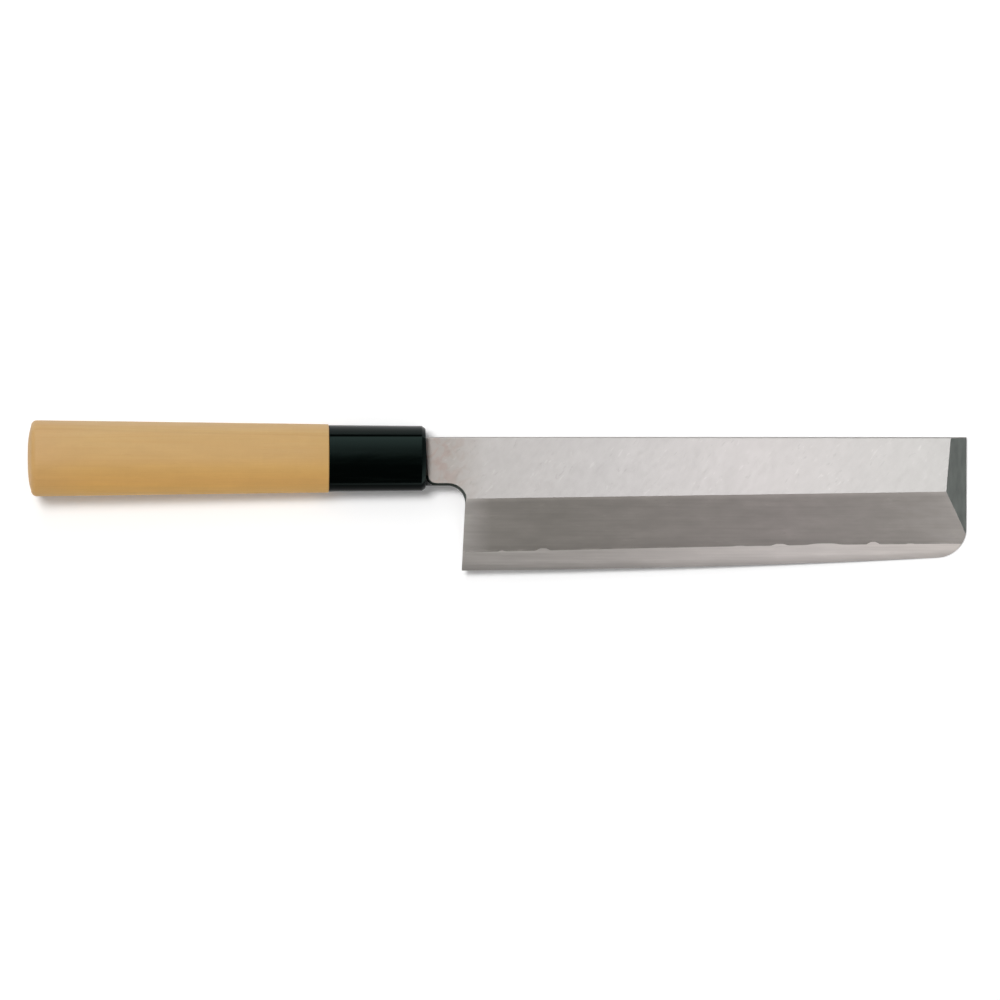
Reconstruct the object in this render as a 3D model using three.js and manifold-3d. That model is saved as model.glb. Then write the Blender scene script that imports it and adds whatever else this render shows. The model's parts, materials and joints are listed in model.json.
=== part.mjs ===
// Usuba: a single-bevel vegetable knife. A blade of soft iron forge-welded to hard edge steel runs back as a
// hidden tang, bedded in a D-section wooden grip through a horn ferrule that is sealed round the tang.
// Millimetres. The knife lies on its flat back, as on a table: +X to the tip, +Y to the spine, +Z up.
import * as THREE from 'three';
import { mergeVertices } from 'three/addons/utils/BufferGeometryUtils.js';
import Module from 'manifold-3d';

const wasm = await Module();
wasm.setup();

// Sizes are given in the knife's own frame: x from the ferrule's mouth towards the tip, y from the handle's
// axis towards the spine, z from the flat back towards the ground face.

// Blade outline
const bladeLength = 180;        // ferrule mouth to tip
const neckLength = 12.1;        // ferrule mouth to the corner of the heel
const spineHeight = 7.1;        // spine above the handle's axis
const heelDrop = 37.25;         // corner of the heel below the axis
const heelLean = 2.8;           // degrees that the heel leans towards the tip as it rises
const neckDrop = 9.1;           // underside of the neck below the axis
const edgeRise = 4.75;          // climb of the cutting edge from heel to tip
const edgeBelly = 0.87;         // bow of the cutting edge below a straight line
const tipCornerRadius = 9.8;    // round between the edge and the end of the blade
const heelFilletRadius = 5.8;   // hollow round between the neck and the heel
const notchRadius = 3.6;        // round on the neck's lower corner, at the ferrule

// Blade section
const neckThickness = 3.6;      // at the ferrule
const tipThickness = 2.6;       // at the tip, before its bevel
const edgeThickness = 0.15;     // flat left along the cutting edge
const ridgeDropHeel = 13.4;     // bevel's upper line below the axis, at the heel
const ridgeDropTip = 10.95;     // the same line at the tip
const bevelWheelRadius = 900;   // wheel that hollows the main bevel
const tipBevelSpine = 5.3;      // length of the tip's bevel along the spine
const tipBevelRidge = 6.8;      // its length along the main bevel's upper line
const tipBevelAngle = 12.3;     // degrees between the tip's bevel and the ground face
const spineBreak = 0.4;         // chamfer along both edges of the spine
const neckBreak = 0.9;          // chamfer along the neck and round into the heel

// Hollow in the flat back
const hollowWheelRadius = 500;  // wheel that grinds it
const hollowSpineLand = 3;      // flat left along the spine
const hollowEdgeLand = 1.4;     // flat left along the edge
const hollowHeelLand = 5;       // flat left before the heel
const hollowTipLand = 8;        // flat left before the tip
const hollowSquareness = 5;     // power that squares the hollow's ends
const hollowRunOut = 6;         // power that keeps its depth even before it runs out there

// Weld between the edge steel and the iron
const weldHeightHeel = 0.93;    // edge steel's thickness at the heel
const weldHeightTip = 0.555;    // the same at the tip
const weldRunOut = 2.4;         // power that keeps it even before it thins to the tip
const weldStart = 4.5;          // edge steel begins this far from the ferrule
const weldScarf = 9;            // length over which it thins out there
const rippleHeight = 0.07;      // hammer ripples in the weld
const ripplePitch = 11.5;       // from one ripple to the next
const rippleGroup = 47;         // length over which they swell and fade
const weldGap = 0.02;           // drawn between the two metals

// Tang
const tangLength = 92;          // inside the handle
const tangEndHeight = 5;        // at its end
const tangEndThickness = 2.2;   // at its end

// Handle
const gripLength = 99.8;
const ferruleLength = 32;
const mouthHalfHeight = 10.8;   // half of the handle's height at the ferrule's mouth
const jointHalfHeight = 11.35;  // the same where the wood meets the ferrule
const buttHalfHeight = 12.65;   // the same at the butt
const gripStep = 0.28;          // wood proud of the ferrule
const handleDepth = 0.81;       // half thickness of the section, as a share of its half height
const crestDropMouth = 3.65;    // ridge along the handle below its top, at the mouth
const crestDropJoint = 3.92;    // the same where the wood meets the ferrule
const crestDropButt = 2.95;     // the same at the butt
const crestDepth = 0.85;        // height of the ridge, as a share of the half thickness
const crestBelow = 19;          // degrees that the face below the ridge slopes there
const crestAbove = 38;          // degrees that the shoulder above the ridge slopes there
const faceCentre = 0.07;        // foremost line of the face below the axis, as a share of the half height
const buttRadius = 0.9;         // round along the butt's edge
const buttDome = 1.7;           // swell of the butt's end
const buttFullness = 3;         // power that keeps the middle of the butt's end flat
const gripEase = 0.4;           // easing of the wood's edge where it meets the ferrule
const mouthChamferLength = 1.2;
const mouthChamferInset = 0.9;

// Joints inside the handle
const spigotDiameter = 14.6;    // wooden spigot that carries the ferrule
const spigotLength = 20;
const beddingThickness = 0.6;   // resin between tang and wood
const beddingEnd = 3;           // resin beyond the tang's end
const slotMargin = 0.7;         // slot's width beyond the tang, and its lower end above the neck's underside
const sealRecess = 0.2;         // seal's face behind the ferrule's mouth
const seatClearance = 0.08;     // between pieces that seat on each other

// Resolution
const curveSteps = 8;           // points on each curve of the handle's section
const arcSteps = 12;            // points on each round of the blade's outline
const edgeSteps = 16;           // stations along the cutting edge
const weldSteps = 112;          // stations along the weld
const cutMargin = 1;            // how far cutting bodies reach past what they cut

const degrees = Math.PI / 180;
const handleLength = gripLength + ferruleLength;
const tangMiddle = neckThickness / 2;
const edgeChord = new THREE.Vector2(bladeLength - neckLength, edgeRise);
const edgeRadius = (edgeChord.lengthSq() / 4 + edgeBelly ** 2) / (2 * edgeBelly);
const edgeCentre = new THREE.Vector2(-edgeChord.y, edgeChord.x)
  .setLength(edgeRadius - edgeBelly)
  .addScaledVector(edgeChord, 0.5)
  .add(new THREE.Vector2(neckLength, -heelDrop));
const notchTop = -neckDrop + notchRadius;
const slotLow = -neckDrop + slotMargin;

// Value at share t of the way from one number to another
const between = THREE.MathUtils.lerp;

// Height of the ground face above the back
const faceAt = (x) => between(neckThickness, tipThickness, x / bladeLength);

// Main bevel's upper line
const ridgeAt = (x) => -between(ridgeDropHeel, ridgeDropTip, (x - neckLength) / (bladeLength - neckLength));

// Cutting edge, an arc
const edgeAt = (x) => edgeCentre.y - Math.sqrt(edgeRadius ** 2 - (x - edgeCentre.x) ** 2);

// Closed mesh to solid
function toSolid(geometry) {
  const bare = geometry.clone();
  bare.deleteAttribute('normal');
  bare.deleteAttribute('uv');
  const merged = mergeVertices(bare, 1e-5);
  return new wasm.Manifold(new wasm.Mesh({
    numProp: 3,
    vertProperties: merged.attributes.position.array,
    triVerts: new Uint32Array(merged.index.array),
  }));
}

// Solid to a named mesh
function toMesh(name, solid, material) {
  const { vertProperties, triVerts } = solid.getMesh();
  const geometry = new THREE.BufferGeometry();
  geometry.setAttribute('position', new THREE.BufferAttribute(vertProperties, 3));
  geometry.setIndex(new THREE.BufferAttribute(triVerts, 1));
  const mesh = new THREE.Mesh(geometry.toNonIndexed(), material);
  mesh.geometry.computeVertexNormals();
  mesh.name = name;
  return mesh;
}

// Closed body through a row of convex rings, which all run the same way round
function loft(rings) {
  const count = rings[0].length;
  const positions = rings.flat();
  const index = [];
  rings.slice(1).forEach((_, row) => {
    for (let i = 0; i < count; i++) {
      const a = row * count + i;
      const b = row * count + (i + 1) % count;
      index.push(a, b, b + count, a, b + count, a + count);
    }
  });
  const last = positions.length - count;
  for (let i = 1; i < count - 1; i++) {
    index.push(0, i + 1, i, last, last + i, last + i + 1);
  }
  const geometry = new THREE.BufferGeometry().setFromPoints(positions);
  geometry.setIndex(index);
  const solid = toSolid(geometry);
  return solid.volume() > 0 ? solid : loft(rings.map((ring) => [...ring].reverse()));
}

// Front outline, drawn in x and y, thickened from one height to another
function plate(shape, low, high) {
  const geometry = new THREE.ExtrudeGeometry(shape, {
    depth: high - low, bevelEnabled: false, curveSegments: arcSteps,
  });
  return toSolid(geometry.translate(0, 0, low));
}

// Side outline, drawn in x and z, carried across the whole height of the blade
function sidePlate(shape) {
  const low = -heelDrop - cutMargin;
  const high = spineHeight + cutMargin;
  const geometry = new THREE.ExtrudeGeometry(shape, { depth: high - low, bevelEnabled: false });
  return toSolid(geometry.rotateX(Math.PI / 2).translate(0, high, 0));
}

// Rod along x between two places on the handle's axis
function rod(diameter, from, to) {
  const geometry = new THREE.CylinderGeometry(diameter / 2, diameter / 2, to - from, 6 * curveSteps);
  return toSolid(geometry.rotateZ(Math.PI / 2).translate((from + to) / 2, 0, tangMiddle));
}

// Rounds of the blade's outline
function outlineRounds() {
  const lean = heelLean * degrees;
  const filletY = -neckDrop - heelFilletRadius;
  const heelAtFillet = neckLength + (filletY + heelDrop) * Math.tan(lean);
  const cornerX = bladeLength - tipCornerRadius;
  const cornerReach = edgeRadius - tipCornerRadius;
  const cornerY = edgeCentre.y - Math.sqrt(cornerReach ** 2 - (cornerX - edgeCentre.x) ** 2);
  const corner = new THREE.Vector2(cornerX, cornerY);
  const heel = new THREE.Vector2(neckLength, -heelDrop);
  return {
    corner,
    heelAngle: heel.sub(edgeCentre).angle() - 2 * Math.PI,
    cornerAngle: corner.clone().sub(edgeCentre).angle() - 2 * Math.PI,
    lean,
    fillet: new THREE.Vector2(heelAtFillet - heelFilletRadius / Math.cos(lean), filletY),
    notch: new THREE.Vector2(notchRadius, notchTop),
  };
}

// Blade seen from the front, anticlockwise from the ferrule's end of the spine
function bladeOutline() {
  const { corner, heelAngle, cornerAngle, lean, fillet, notch } = outlineRounds();
  const shape = new THREE.Shape();
  shape.moveTo(0, spineHeight);
  shape.lineTo(0, notchTop);
  shape.absarc(notch.x, notch.y, notchRadius, Math.PI, 1.5 * Math.PI, false);
  shape.absarc(fillet.x, fillet.y, heelFilletRadius, Math.PI / 2, -lean, true);
  shape.lineTo(neckLength, -heelDrop);
  for (let i = 1; i < edgeSteps; i++) {
    const angle = between(heelAngle, cornerAngle, i / edgeSteps);
    shape.lineTo(edgeCentre.x + edgeRadius * Math.cos(angle), edgeCentre.y + edgeRadius * Math.sin(angle));
  }
  shape.absarc(corner.x, corner.y, tipCornerRadius, cornerAngle, 0, false);
  shape.lineTo(bladeLength, spineHeight);
  return shape;
}

// Blade seen from above the spine, thinning towards the tip
function taperOutline() {
  const from = -cutMargin;
  const to = bladeLength + cutMargin;
  return new THREE.Shape([
    new THREE.Vector2(from, 0),
    new THREE.Vector2(to, 0),
    new THREE.Vector2(to, faceAt(to)),
    new THREE.Vector2(from, faceAt(from)),
  ]);
}

// Everything that the main bevel's wheel grinds away
function bevelCut() {
  const rings = [];
  const above = neckThickness + cutMargin;
  for (let i = 0; i <= edgeSteps; i++) {
    const x = between(neckLength - cutMargin, bladeLength + cutMargin, i / edgeSteps);
    const ridge = ridgeAt(x);
    const edge = edgeAt(x);
    const sag = (ridge - edge) ** 2 / (8 * bevelWheelRadius);
    const ring = [new THREE.Vector3(x, ridge, above)];
    for (let k = 0; k <= curveSteps; k++) {
      const t = k / curveSteps;
      const height = between(faceAt(x), edgeThickness, t) - 4 * sag * t * (1 - t);
      ring.push(new THREE.Vector3(x, between(ridge, edge, t), height));
    }
    ring.push(new THREE.Vector3(x, edge - cutMargin, edgeThickness));
    ring.push(new THREE.Vector3(x, edge - cutMargin, above));
    rings.push(ring);
  }
  return loft(rings);
}

// Everything in front of the tip's bevel
function tipCut() {
  const slope = Math.tan(tipBevelAngle * degrees);
  const reach = tipBevelRidge + 4 * cutMargin;
  const turn = (tipBevelRidge - tipBevelSpine) / (spineHeight - ridgeAt(bladeLength));
  const start = bladeLength - tipBevelSpine;
  const rings = [-heelDrop - cutMargin, spineHeight + cutMargin].map((y) => {
    const x = start - (spineHeight - y) * turn;
    const face = faceAt(start);
    return [
      new THREE.Vector3(x - cutMargin, y, face + cutMargin * slope),
      new THREE.Vector3(x + 2 * reach, y, face + cutMargin * slope),
      new THREE.Vector3(x + 2 * reach, y, face - 2 * reach * slope),
    ];
  });
  return loft(rings);
}

// Shallow hollow ground into the back
function hollowCut() {
  const from = neckLength + hollowHeelLand;
  const to = bladeLength - hollowTipLand;
  const rings = [];
  for (let i = 1; i < 2 * edgeSteps; i++) {
    const along = -Math.cos(Math.PI * i / (2 * edgeSteps));
    const x = between(from, to, (along + 1) / 2);
    const high = spineHeight - hollowSpineLand;
    const low = edgeAt(x) + hollowEdgeLand;
    const full = (high - low) / 2;
    const half = full * (1 - Math.abs(along) ** hollowSquareness) ** (1 / hollowSquareness);
    const middle = (high + low) / 2;
    const depth = full ** 2 / (2 * hollowWheelRadius) * (1 - Math.abs(along) ** hollowRunOut);
    const ring = [-half, half].map((across) => new THREE.Vector3(x, middle + across, -cutMargin));
    for (let k = 0; k <= curveSteps; k++) {
      const across = 1 - 2 * k / curveSteps;
      ring.push(new THREE.Vector3(x, middle + across * half, depth * (1 - across ** 2)));
    }
    rings.push(ring);
  }
  return loft(rings);
}

// Prism that takes a 45 degree chamfer off an outline's edge. Each place on the path has a point and the
// direction out of the blade; side is 1 for an edge of the ground face and -1 for one of the back.
function edgeBreak(path, size, side) {
  const rings = path.map(({ point, out }) => {
    const face = side > 0 ? faceAt(point.x) : 0;
    const place = (outward, height) => new THREE.Vector3(
      point.x + out.x * outward, point.y + out.y * outward, face + side * height,
    );
    return [
      place(-size - cutMargin, cutMargin),
      place(cutMargin, -size - cutMargin),
      place(cutMargin, cutMargin),
    ];
  });
  return loft(rings);
}

// Chamfers along the spine, the neck and the round into the heel
function breakEdges(blade) {
  const { fillet, notch, lean } = outlineRounds();
  const spine = [bladeLength + cutMargin, -cutMargin].map((x) => ({
    point: new THREE.Vector2(x, spineHeight), out: new THREE.Vector2(0, 1),
  }));
  const neck = [];
  for (let i = 1; i <= arcSteps; i++) {
    const angle = between(Math.PI, 1.5 * Math.PI, i / arcSteps);
    const out = new THREE.Vector2(Math.cos(angle), Math.sin(angle));
    neck.push({ point: notch.clone().addScaledVector(out, notchRadius), out });
  }
  for (let i = 0; i <= arcSteps; i++) {
    const angle = between(Math.PI / 2, -lean, i / arcSteps);
    const spoke = new THREE.Vector2(Math.cos(angle), Math.sin(angle));
    neck.push({ point: fillet.clone().addScaledVector(spoke, heelFilletRadius), out: spoke.negate() });
  }
  return [1, -1].reduce((rest, side) => rest
    .subtract(edgeBreak(spine, spineBreak, side))
    .subtract(edgeBreak(neck, neckBreak, side)), blade);
}

// Tang with each face moved out by grow, from its root inside the neck to its end
function tang(grow, end = 0, root = cutMargin) {
  const ringAt = (x, high, low, thickness) => [
    new THREE.Vector3(x, high + grow, tangMiddle - thickness / 2 - grow),
    new THREE.Vector3(x, high + grow, tangMiddle + thickness / 2 + grow),
    new THREE.Vector3(x, low - grow, tangMiddle + thickness / 2 + grow),
    new THREE.Vector3(x, low - grow, tangMiddle - thickness / 2 - grow),
  ];
  const tip = [tangEndHeight / 2, -tangEndHeight / 2, tangEndThickness];
  const mouth = [spineHeight - spineBreak, notchTop, neckThickness - 2 * spineBreak];
  return loft([
    ringAt(-tangLength - end, ...tip),
    ringAt(0, ...mouth),
    ringAt(root, ...mouth),
  ]);
}

// Ground blade, still one piece
function blade() {
  const blank = plate(bladeOutline(), -cutMargin, neckThickness + cutMargin);
  const tapered = blank.intersect(sidePlate(taperOutline()));
  const ground = tapered.subtract(bevelCut()).subtract(tipCut()).subtract(hollowCut());
  return breakEdges(ground);
}

// Edge steel's thickness, with the ripples of the hammer
function weldAt(x) {
  const share = Math.max(0, x - neckLength) / (bladeLength - neckLength);
  const steady = between(weldHeightHeel, weldHeightTip, share ** weldRunOut);
  const swell = 0.6 + 0.4 * Math.sin(2 * Math.PI * x / rippleGroup);
  return steady + rippleHeight * swell * Math.max(0, Math.sin(2 * Math.PI * x / ripplePitch)) ** 2;
}

// Everything under the weld, which lies lift above its true line
function underWeld(lift) {
  const shape = new THREE.Shape();
  const end = bladeLength + cutMargin;
  shape.moveTo(weldStart - lift, -cutMargin);
  shape.lineTo(end, -cutMargin);
  for (let i = 0; i <= weldSteps; i++) {
    const x = between(end, weldStart + weldScarf, i / weldSteps);
    shape.lineTo(x, weldAt(x) + lift);
  }
  shape.lineTo(weldStart - lift, lift);
  return sidePlate(shape);
}

// Value along the handle, given at the mouth, on both sides of the joint and at the butt
const alongHandle = (x, mouth, front, rear, butt) => (x < -ferruleLength
  ? between(rear, butt, (-ferruleLength - x) / gripLength)
  : between(mouth, front, -x / ferruleLength));

// Half of the handle's height
const halfHeightAt = (x) => alongHandle(
  x, mouthHalfHeight, jointHalfHeight - gripStep, jointHalfHeight, buttHalfHeight,
);

// Ridge along the handle below its top
const crestDropAt = (x) => alongHandle(x, crestDropMouth, crestDropJoint, crestDropJoint, crestDropButt);

// D-section of the handle at a place along it, drawn in by inset: an oval with one ridge near its top
function handleRing(x, inset = 0) {
  const full = halfHeightAt(x);
  const high = full - inset;
  const deep = high * handleDepth;
  const kappa = 4 / 3 * (Math.SQRT2 - 1);
  const drop = crestDropAt(x) * high / full;
  const crest = new THREE.Vector2(high - drop, deep * crestDepth);
  const centre = -high * faceCentre;
  const above = crestAbove * degrees;
  const below = crestBelow * degrees;
  const shoulder = crest.distanceTo(new THREE.Vector2(high, 0)) / 3;
  const brow = (crest.x - centre) / 3;
  const shape = new THREE.Shape();
  shape.moveTo(high, 0);
  shape.bezierCurveTo(
    high, shoulder,
    crest.x + shoulder * Math.cos(above), crest.y - shoulder * Math.sin(above), crest.x, crest.y,
  );
  shape.bezierCurveTo(
    crest.x - brow * Math.cos(below), crest.y + brow * Math.sin(below), centre + brow, deep, centre, deep,
  );
  shape.bezierCurveTo(centre - kappa * (high + centre), deep, -high, kappa * deep, -high, 0);
  shape.bezierCurveTo(-high, -kappa * deep, -kappa * high, -deep, 0, -deep);
  shape.bezierCurveTo(kappa * high, -deep, high, -kappa * deep, high, 0);
  const points = shape.getPoints(curveSteps).slice(0, -1);
  return points.map(({ x: y, y: z }) => new THREE.Vector3(x, y, z + tangMiddle));
}

// Soft-iron back of the blade with its tang, above the weld
function ironBody() {
  return blade().subtract(underWeld(weldGap)).add(tang(0));
}

// Hard edge steel, below the weld
function edgeSteel() {
  return blade().intersect(underWeld(0));
}

// Wooden grip: domed butt, spigot for the ferrule, bore for the bedded tang
function gripBody() {
  const rings = [];
  const butt = -handleLength + buttDome + buttRadius;
  const flat = halfHeightAt(-handleLength) - buttRadius;
  const roundSteps = curveSteps / 2;
  for (let i = 0; i < curveSteps; i++) {
    const share = i / curveSteps;
    const inset = buttRadius + flat * Math.min(1 - share, 0.95);
    rings.push(handleRing(-handleLength + buttDome * share ** buttFullness, inset));
  }
  for (let i = 0; i <= roundSteps; i++) {
    const angle = between(Math.PI / 2, 0, i / roundSteps);
    rings.push(handleRing(butt - buttRadius * Math.sin(angle), buttRadius * (1 - Math.cos(angle))));
  }
  const joint = -ferruleLength - seatClearance;
  rings.push(handleRing(joint - gripEase), handleRing(joint, gripEase));
  const spigotEnd = -ferruleLength + spigotLength;
  return loft(rings)
    .add(rod(spigotDiameter, -ferruleLength - cutMargin, spigotEnd))
    .subtract(tang(beddingThickness + seatClearance, beddingEnd));
}

// Resin sleeve round the tang, closed at its far end and open at the spigot
function beddingSleeve() {
  const sleeve = tang(beddingThickness, beddingEnd).subtract(tang(seatClearance));
  return sleeve.intersect(rod(4 * buttHalfHeight, -handleLength, -ferruleLength + spigotLength));
}

// Horn ferrule: chamfered mouth, blind socket for the spigot, slot for the tang
function ferruleBody() {
  const socketEnd = -ferruleLength + spigotLength + seatClearance;
  const socket = rod(spigotDiameter + 2 * seatClearance, -ferruleLength - cutMargin, socketEnd);
  const shell = loft([
    handleRing(-ferruleLength),
    handleRing(-mouthChamferLength),
    handleRing(0, mouthChamferInset),
  ]);
  return shell.subtract(socket).subtract(slotBlock(0, cutMargin));
}

// Slot through the ferrule's front wall, drawn in by inset and reaching past the mouth
function slotBlock(inset, reach) {
  const low = slotLow + inset;
  const high = spineHeight + slotMargin - inset;
  const half = neckThickness / 2 + slotMargin - inset;
  const shape = new THREE.Shape([
    new THREE.Vector2(-ferruleLength + spigotLength + inset, low),
    new THREE.Vector2(reach, low),
    new THREE.Vector2(reach, high),
    new THREE.Vector2(-ferruleLength + spigotLength + inset, high),
  ]);
  return plate(shape, tangMiddle - half, tangMiddle + half);
}

// Neck of the blade grown by the seat clearance, as the seal closes round it
function neckRoom() {
  const shape = new THREE.Shape();
  const low = -neckDrop - seatClearance;
  shape.moveTo(-seatClearance, spineHeight + seatClearance);
  shape.lineTo(-seatClearance, notchTop);
  shape.absarc(notchRadius, notchTop, notchRadius + seatClearance, Math.PI, 1.5 * Math.PI, false);
  shape.lineTo(neckLength, low);
  shape.lineTo(neckLength, spineHeight + seatClearance);
  return plate(shape, -seatClearance, neckThickness + seatClearance);
}

// Black seal: fills the slot round the tang and, through the slot's lower end, the corner under the neck
function sealBody() {
  const block = (left, low, right) => plate(new THREE.Shape([
    new THREE.Vector2(left, low), new THREE.Vector2(right, low),
    new THREE.Vector2(right, notchTop), new THREE.Vector2(left, notchTop),
  ]), spineBreak, neckThickness - spineBreak);
  const bridge = block(-sealRecess - cutMargin, slotLow + seatClearance, notchRadius / 4);
  const corner = block(seatClearance, -neckDrop, notchRadius);
  return slotBlock(seatClearance, -sealRecess).add(bridge).add(corner)
    .subtract(tang(seatClearance, 0, 2 * cutMargin)).subtract(neckRoom());
}

const iron = new THREE.MeshStandardMaterial({ color: 0xb9b6b3, roughness: 0.45, metalness: 1 });
const steel = new THREE.MeshStandardMaterial({ color: 0xc2bcb8, roughness: 0.35, metalness: 1 });
const wood = new THREE.MeshStandardMaterial({ color: 0xc6a069, roughness: 0.6, metalness: 0 });
const horn = new THREE.MeshStandardMaterial({ color: 0x0b100e, roughness: 0.2, metalness: 0 });
const resin = new THREE.MeshStandardMaterial({ color: 0x3a2616, roughness: 0.5, metalness: 0 });
const sealant = new THREE.MeshStandardMaterial({ color: 0x0c0f0d, roughness: 0.55, metalness: 0 });

const knife = new THREE.Group();
knife.add(
  toMesh('iron_body', ironBody(), iron),
  toMesh('edge_steel', edgeSteel(), steel),
  toMesh('grip', gripBody(), wood),
  toMesh('ferrule', ferruleBody(), horn),
  toMesh('tang_bedding', beddingSleeve(), resin),
  toMesh('mouth_seal', sealBody(), sealant),
);

// At rest the ferrule's lower rim and the back of the tip touch the table
const rimDrop = halfHeightAt(-mouthChamferLength) * handleDepth - tangMiddle;
knife.rotation.y = Math.atan2(rimDrop, bladeLength + mouthChamferLength);

// Origin on the table, under the middle of the knife's length and width
const usuba = new THREE.Group();
usuba.add(knife);
const extent = new THREE.Box3().setFromObject(usuba, true);
const middle = extent.getCenter(new THREE.Vector3());
knife.position.set(-middle.x, -middle.y, -extent.min.z);

export default usuba;
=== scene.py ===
"""Usuba knife: smooth pieces, procedural finishes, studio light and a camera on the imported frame.

Sizes are millimetres in the knife's own frame: x from the ferrule's mouth to the tip, y from the handle's
axis to the spine, z from the flat back to the ground face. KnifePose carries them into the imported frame, in
metres.
"""

from __future__ import annotations

import json
import logging
import math
from collections.abc import Callable, Iterable, Sequence
from dataclasses import dataclass, field
from enum import Enum
from typing import Any

import bmesh
import bpy
from mathutils import Matrix, Vector
from mathutils.geometry import delaunay_2d_cdt

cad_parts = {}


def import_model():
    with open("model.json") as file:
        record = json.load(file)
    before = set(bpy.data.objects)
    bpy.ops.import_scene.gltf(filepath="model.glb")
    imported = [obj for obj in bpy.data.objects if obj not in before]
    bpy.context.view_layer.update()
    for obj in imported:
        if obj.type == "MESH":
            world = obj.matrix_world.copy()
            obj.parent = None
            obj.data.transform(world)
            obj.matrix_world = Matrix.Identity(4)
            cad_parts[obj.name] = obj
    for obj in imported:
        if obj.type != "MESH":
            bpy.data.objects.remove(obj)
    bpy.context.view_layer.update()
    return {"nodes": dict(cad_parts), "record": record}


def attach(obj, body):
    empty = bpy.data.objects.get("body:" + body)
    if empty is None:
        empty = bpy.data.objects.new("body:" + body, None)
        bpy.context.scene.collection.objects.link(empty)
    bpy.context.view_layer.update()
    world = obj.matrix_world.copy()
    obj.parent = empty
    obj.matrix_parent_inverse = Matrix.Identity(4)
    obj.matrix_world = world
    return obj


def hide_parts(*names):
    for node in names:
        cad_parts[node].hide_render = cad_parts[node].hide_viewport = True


LOG = logging.getLogger("usuba")
MM = 0.001
BODY = "root"
WHITE = (1.0, 1.0, 1.0, 1.0)
Plan = tuple[float, float]
Span = tuple[float, float]
Size = tuple[float, float, float]
Colour = tuple[float, float, float, float]
Tones = tuple[tuple[float, Colour], ...]
Socket = bpy.types.NodeSocket
Material = bpy.types.Material


def linear(red: float, green: float, blue: float) -> Colour:
    """Turns a colour as it is read off a picture, 0 to 255 each, into a linear one with full alpha."""
    parts = [level / 255 for level in (red, green, blue)]
    return (*(p / 12.92 if p <= 0.04045 else ((p + 0.055) / 1.055) ** 2.4 for p in parts), 1.0)


def tones(*stops: tuple[float, float, float, float]) -> Tones:
    """Returns linear colours at their places, from a place, red, green and blue each."""
    return tuple((place, linear(*levels)) for place, *levels in stops)


def between(start: float, end: float, share: float) -> float:
    """Returns the value at a share of the way from start to end."""
    return start + (end - start) * share


def steps(start: float, end: float, count: int) -> list[float]:
    """Returns count + 1 even steps from start to end."""
    return [between(start, end, i / count) for i in range(count + 1)]


def smooth(low: float, high: float, value: float) -> float:
    """Returns a soft step from 0 at low to 1 at high."""
    share = min(1.0, max(0.0, (value - low) / (high - low)))
    return share * share * (3 - 2 * share)


def arc(centre: Vector, radius: float, angles: Iterable[float]) -> list[Plan]:
    """Returns the points of a circle at the given angles."""
    return [tuple(centre + Vector((math.cos(angle), math.sin(angle))) * radius) for angle in angles]


def solve(gap: Callable[[float], float], low: float, high: float) -> float:
    """Finds where a function that changes sign once crosses zero.

    Args:
        gap: the function.
        low: one end of the search.
        high: the other end.

    Returns:
        The crossing, to a small fraction of a micron.
    """
    halvings = 40
    below = gap(low) < 0
    for _ in range(halvings):
        middle = (low + high) / 2
        if (gap(middle) < 0) == below:
            low = middle
        else:
            high = middle
    return (low + high) / 2


def link(name: str, data: Any) -> bpy.types.Object:
    """Makes an object.

    Args:
        name: its name.
        data: its mesh, lamp or camera.

    Returns:
        The object, linked to the scene.
    """
    made = bpy.data.objects.new(name, data)
    bpy.context.scene.collection.objects.link(made)
    return made


@dataclass(frozen=True)
class KnifePose:
    """Where the knife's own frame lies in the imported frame.

    The record's mount on the flat back gives both: its axis the tilt, its point the place.
    """

    tilt: float
    origin: Vector
    mount_name: str = "back_flat"

    @classmethod
    def from_record(cls, record: dict[str, Any], mount_place: Plan = (95.0, 5.4)) -> KnifePose:
        """Reads the pose off the record.

        Args:
            record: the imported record.
            mount_place: the mount's x and y in the knife's own frame.

        Returns:
            The pose.
        """
        mount = next(m for m in record["mounts"] if m["name"] == cls.mount_name)
        axis = Vector(mount["axis"])
        tilt = math.atan2(-axis.x, -axis.z)
        local = Vector((*mount_place, 0.0)) * MM
        return cls(tilt, Vector(mount["pos_m"]) - Matrix.Rotation(tilt, 3, "Y") @ local)

    def place(self, point: Vector) -> Vector:
        """Returns a point of the knife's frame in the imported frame."""
        return self.origin + Matrix.Rotation(self.tilt, 3, "Y") @ (point * MM)


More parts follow.
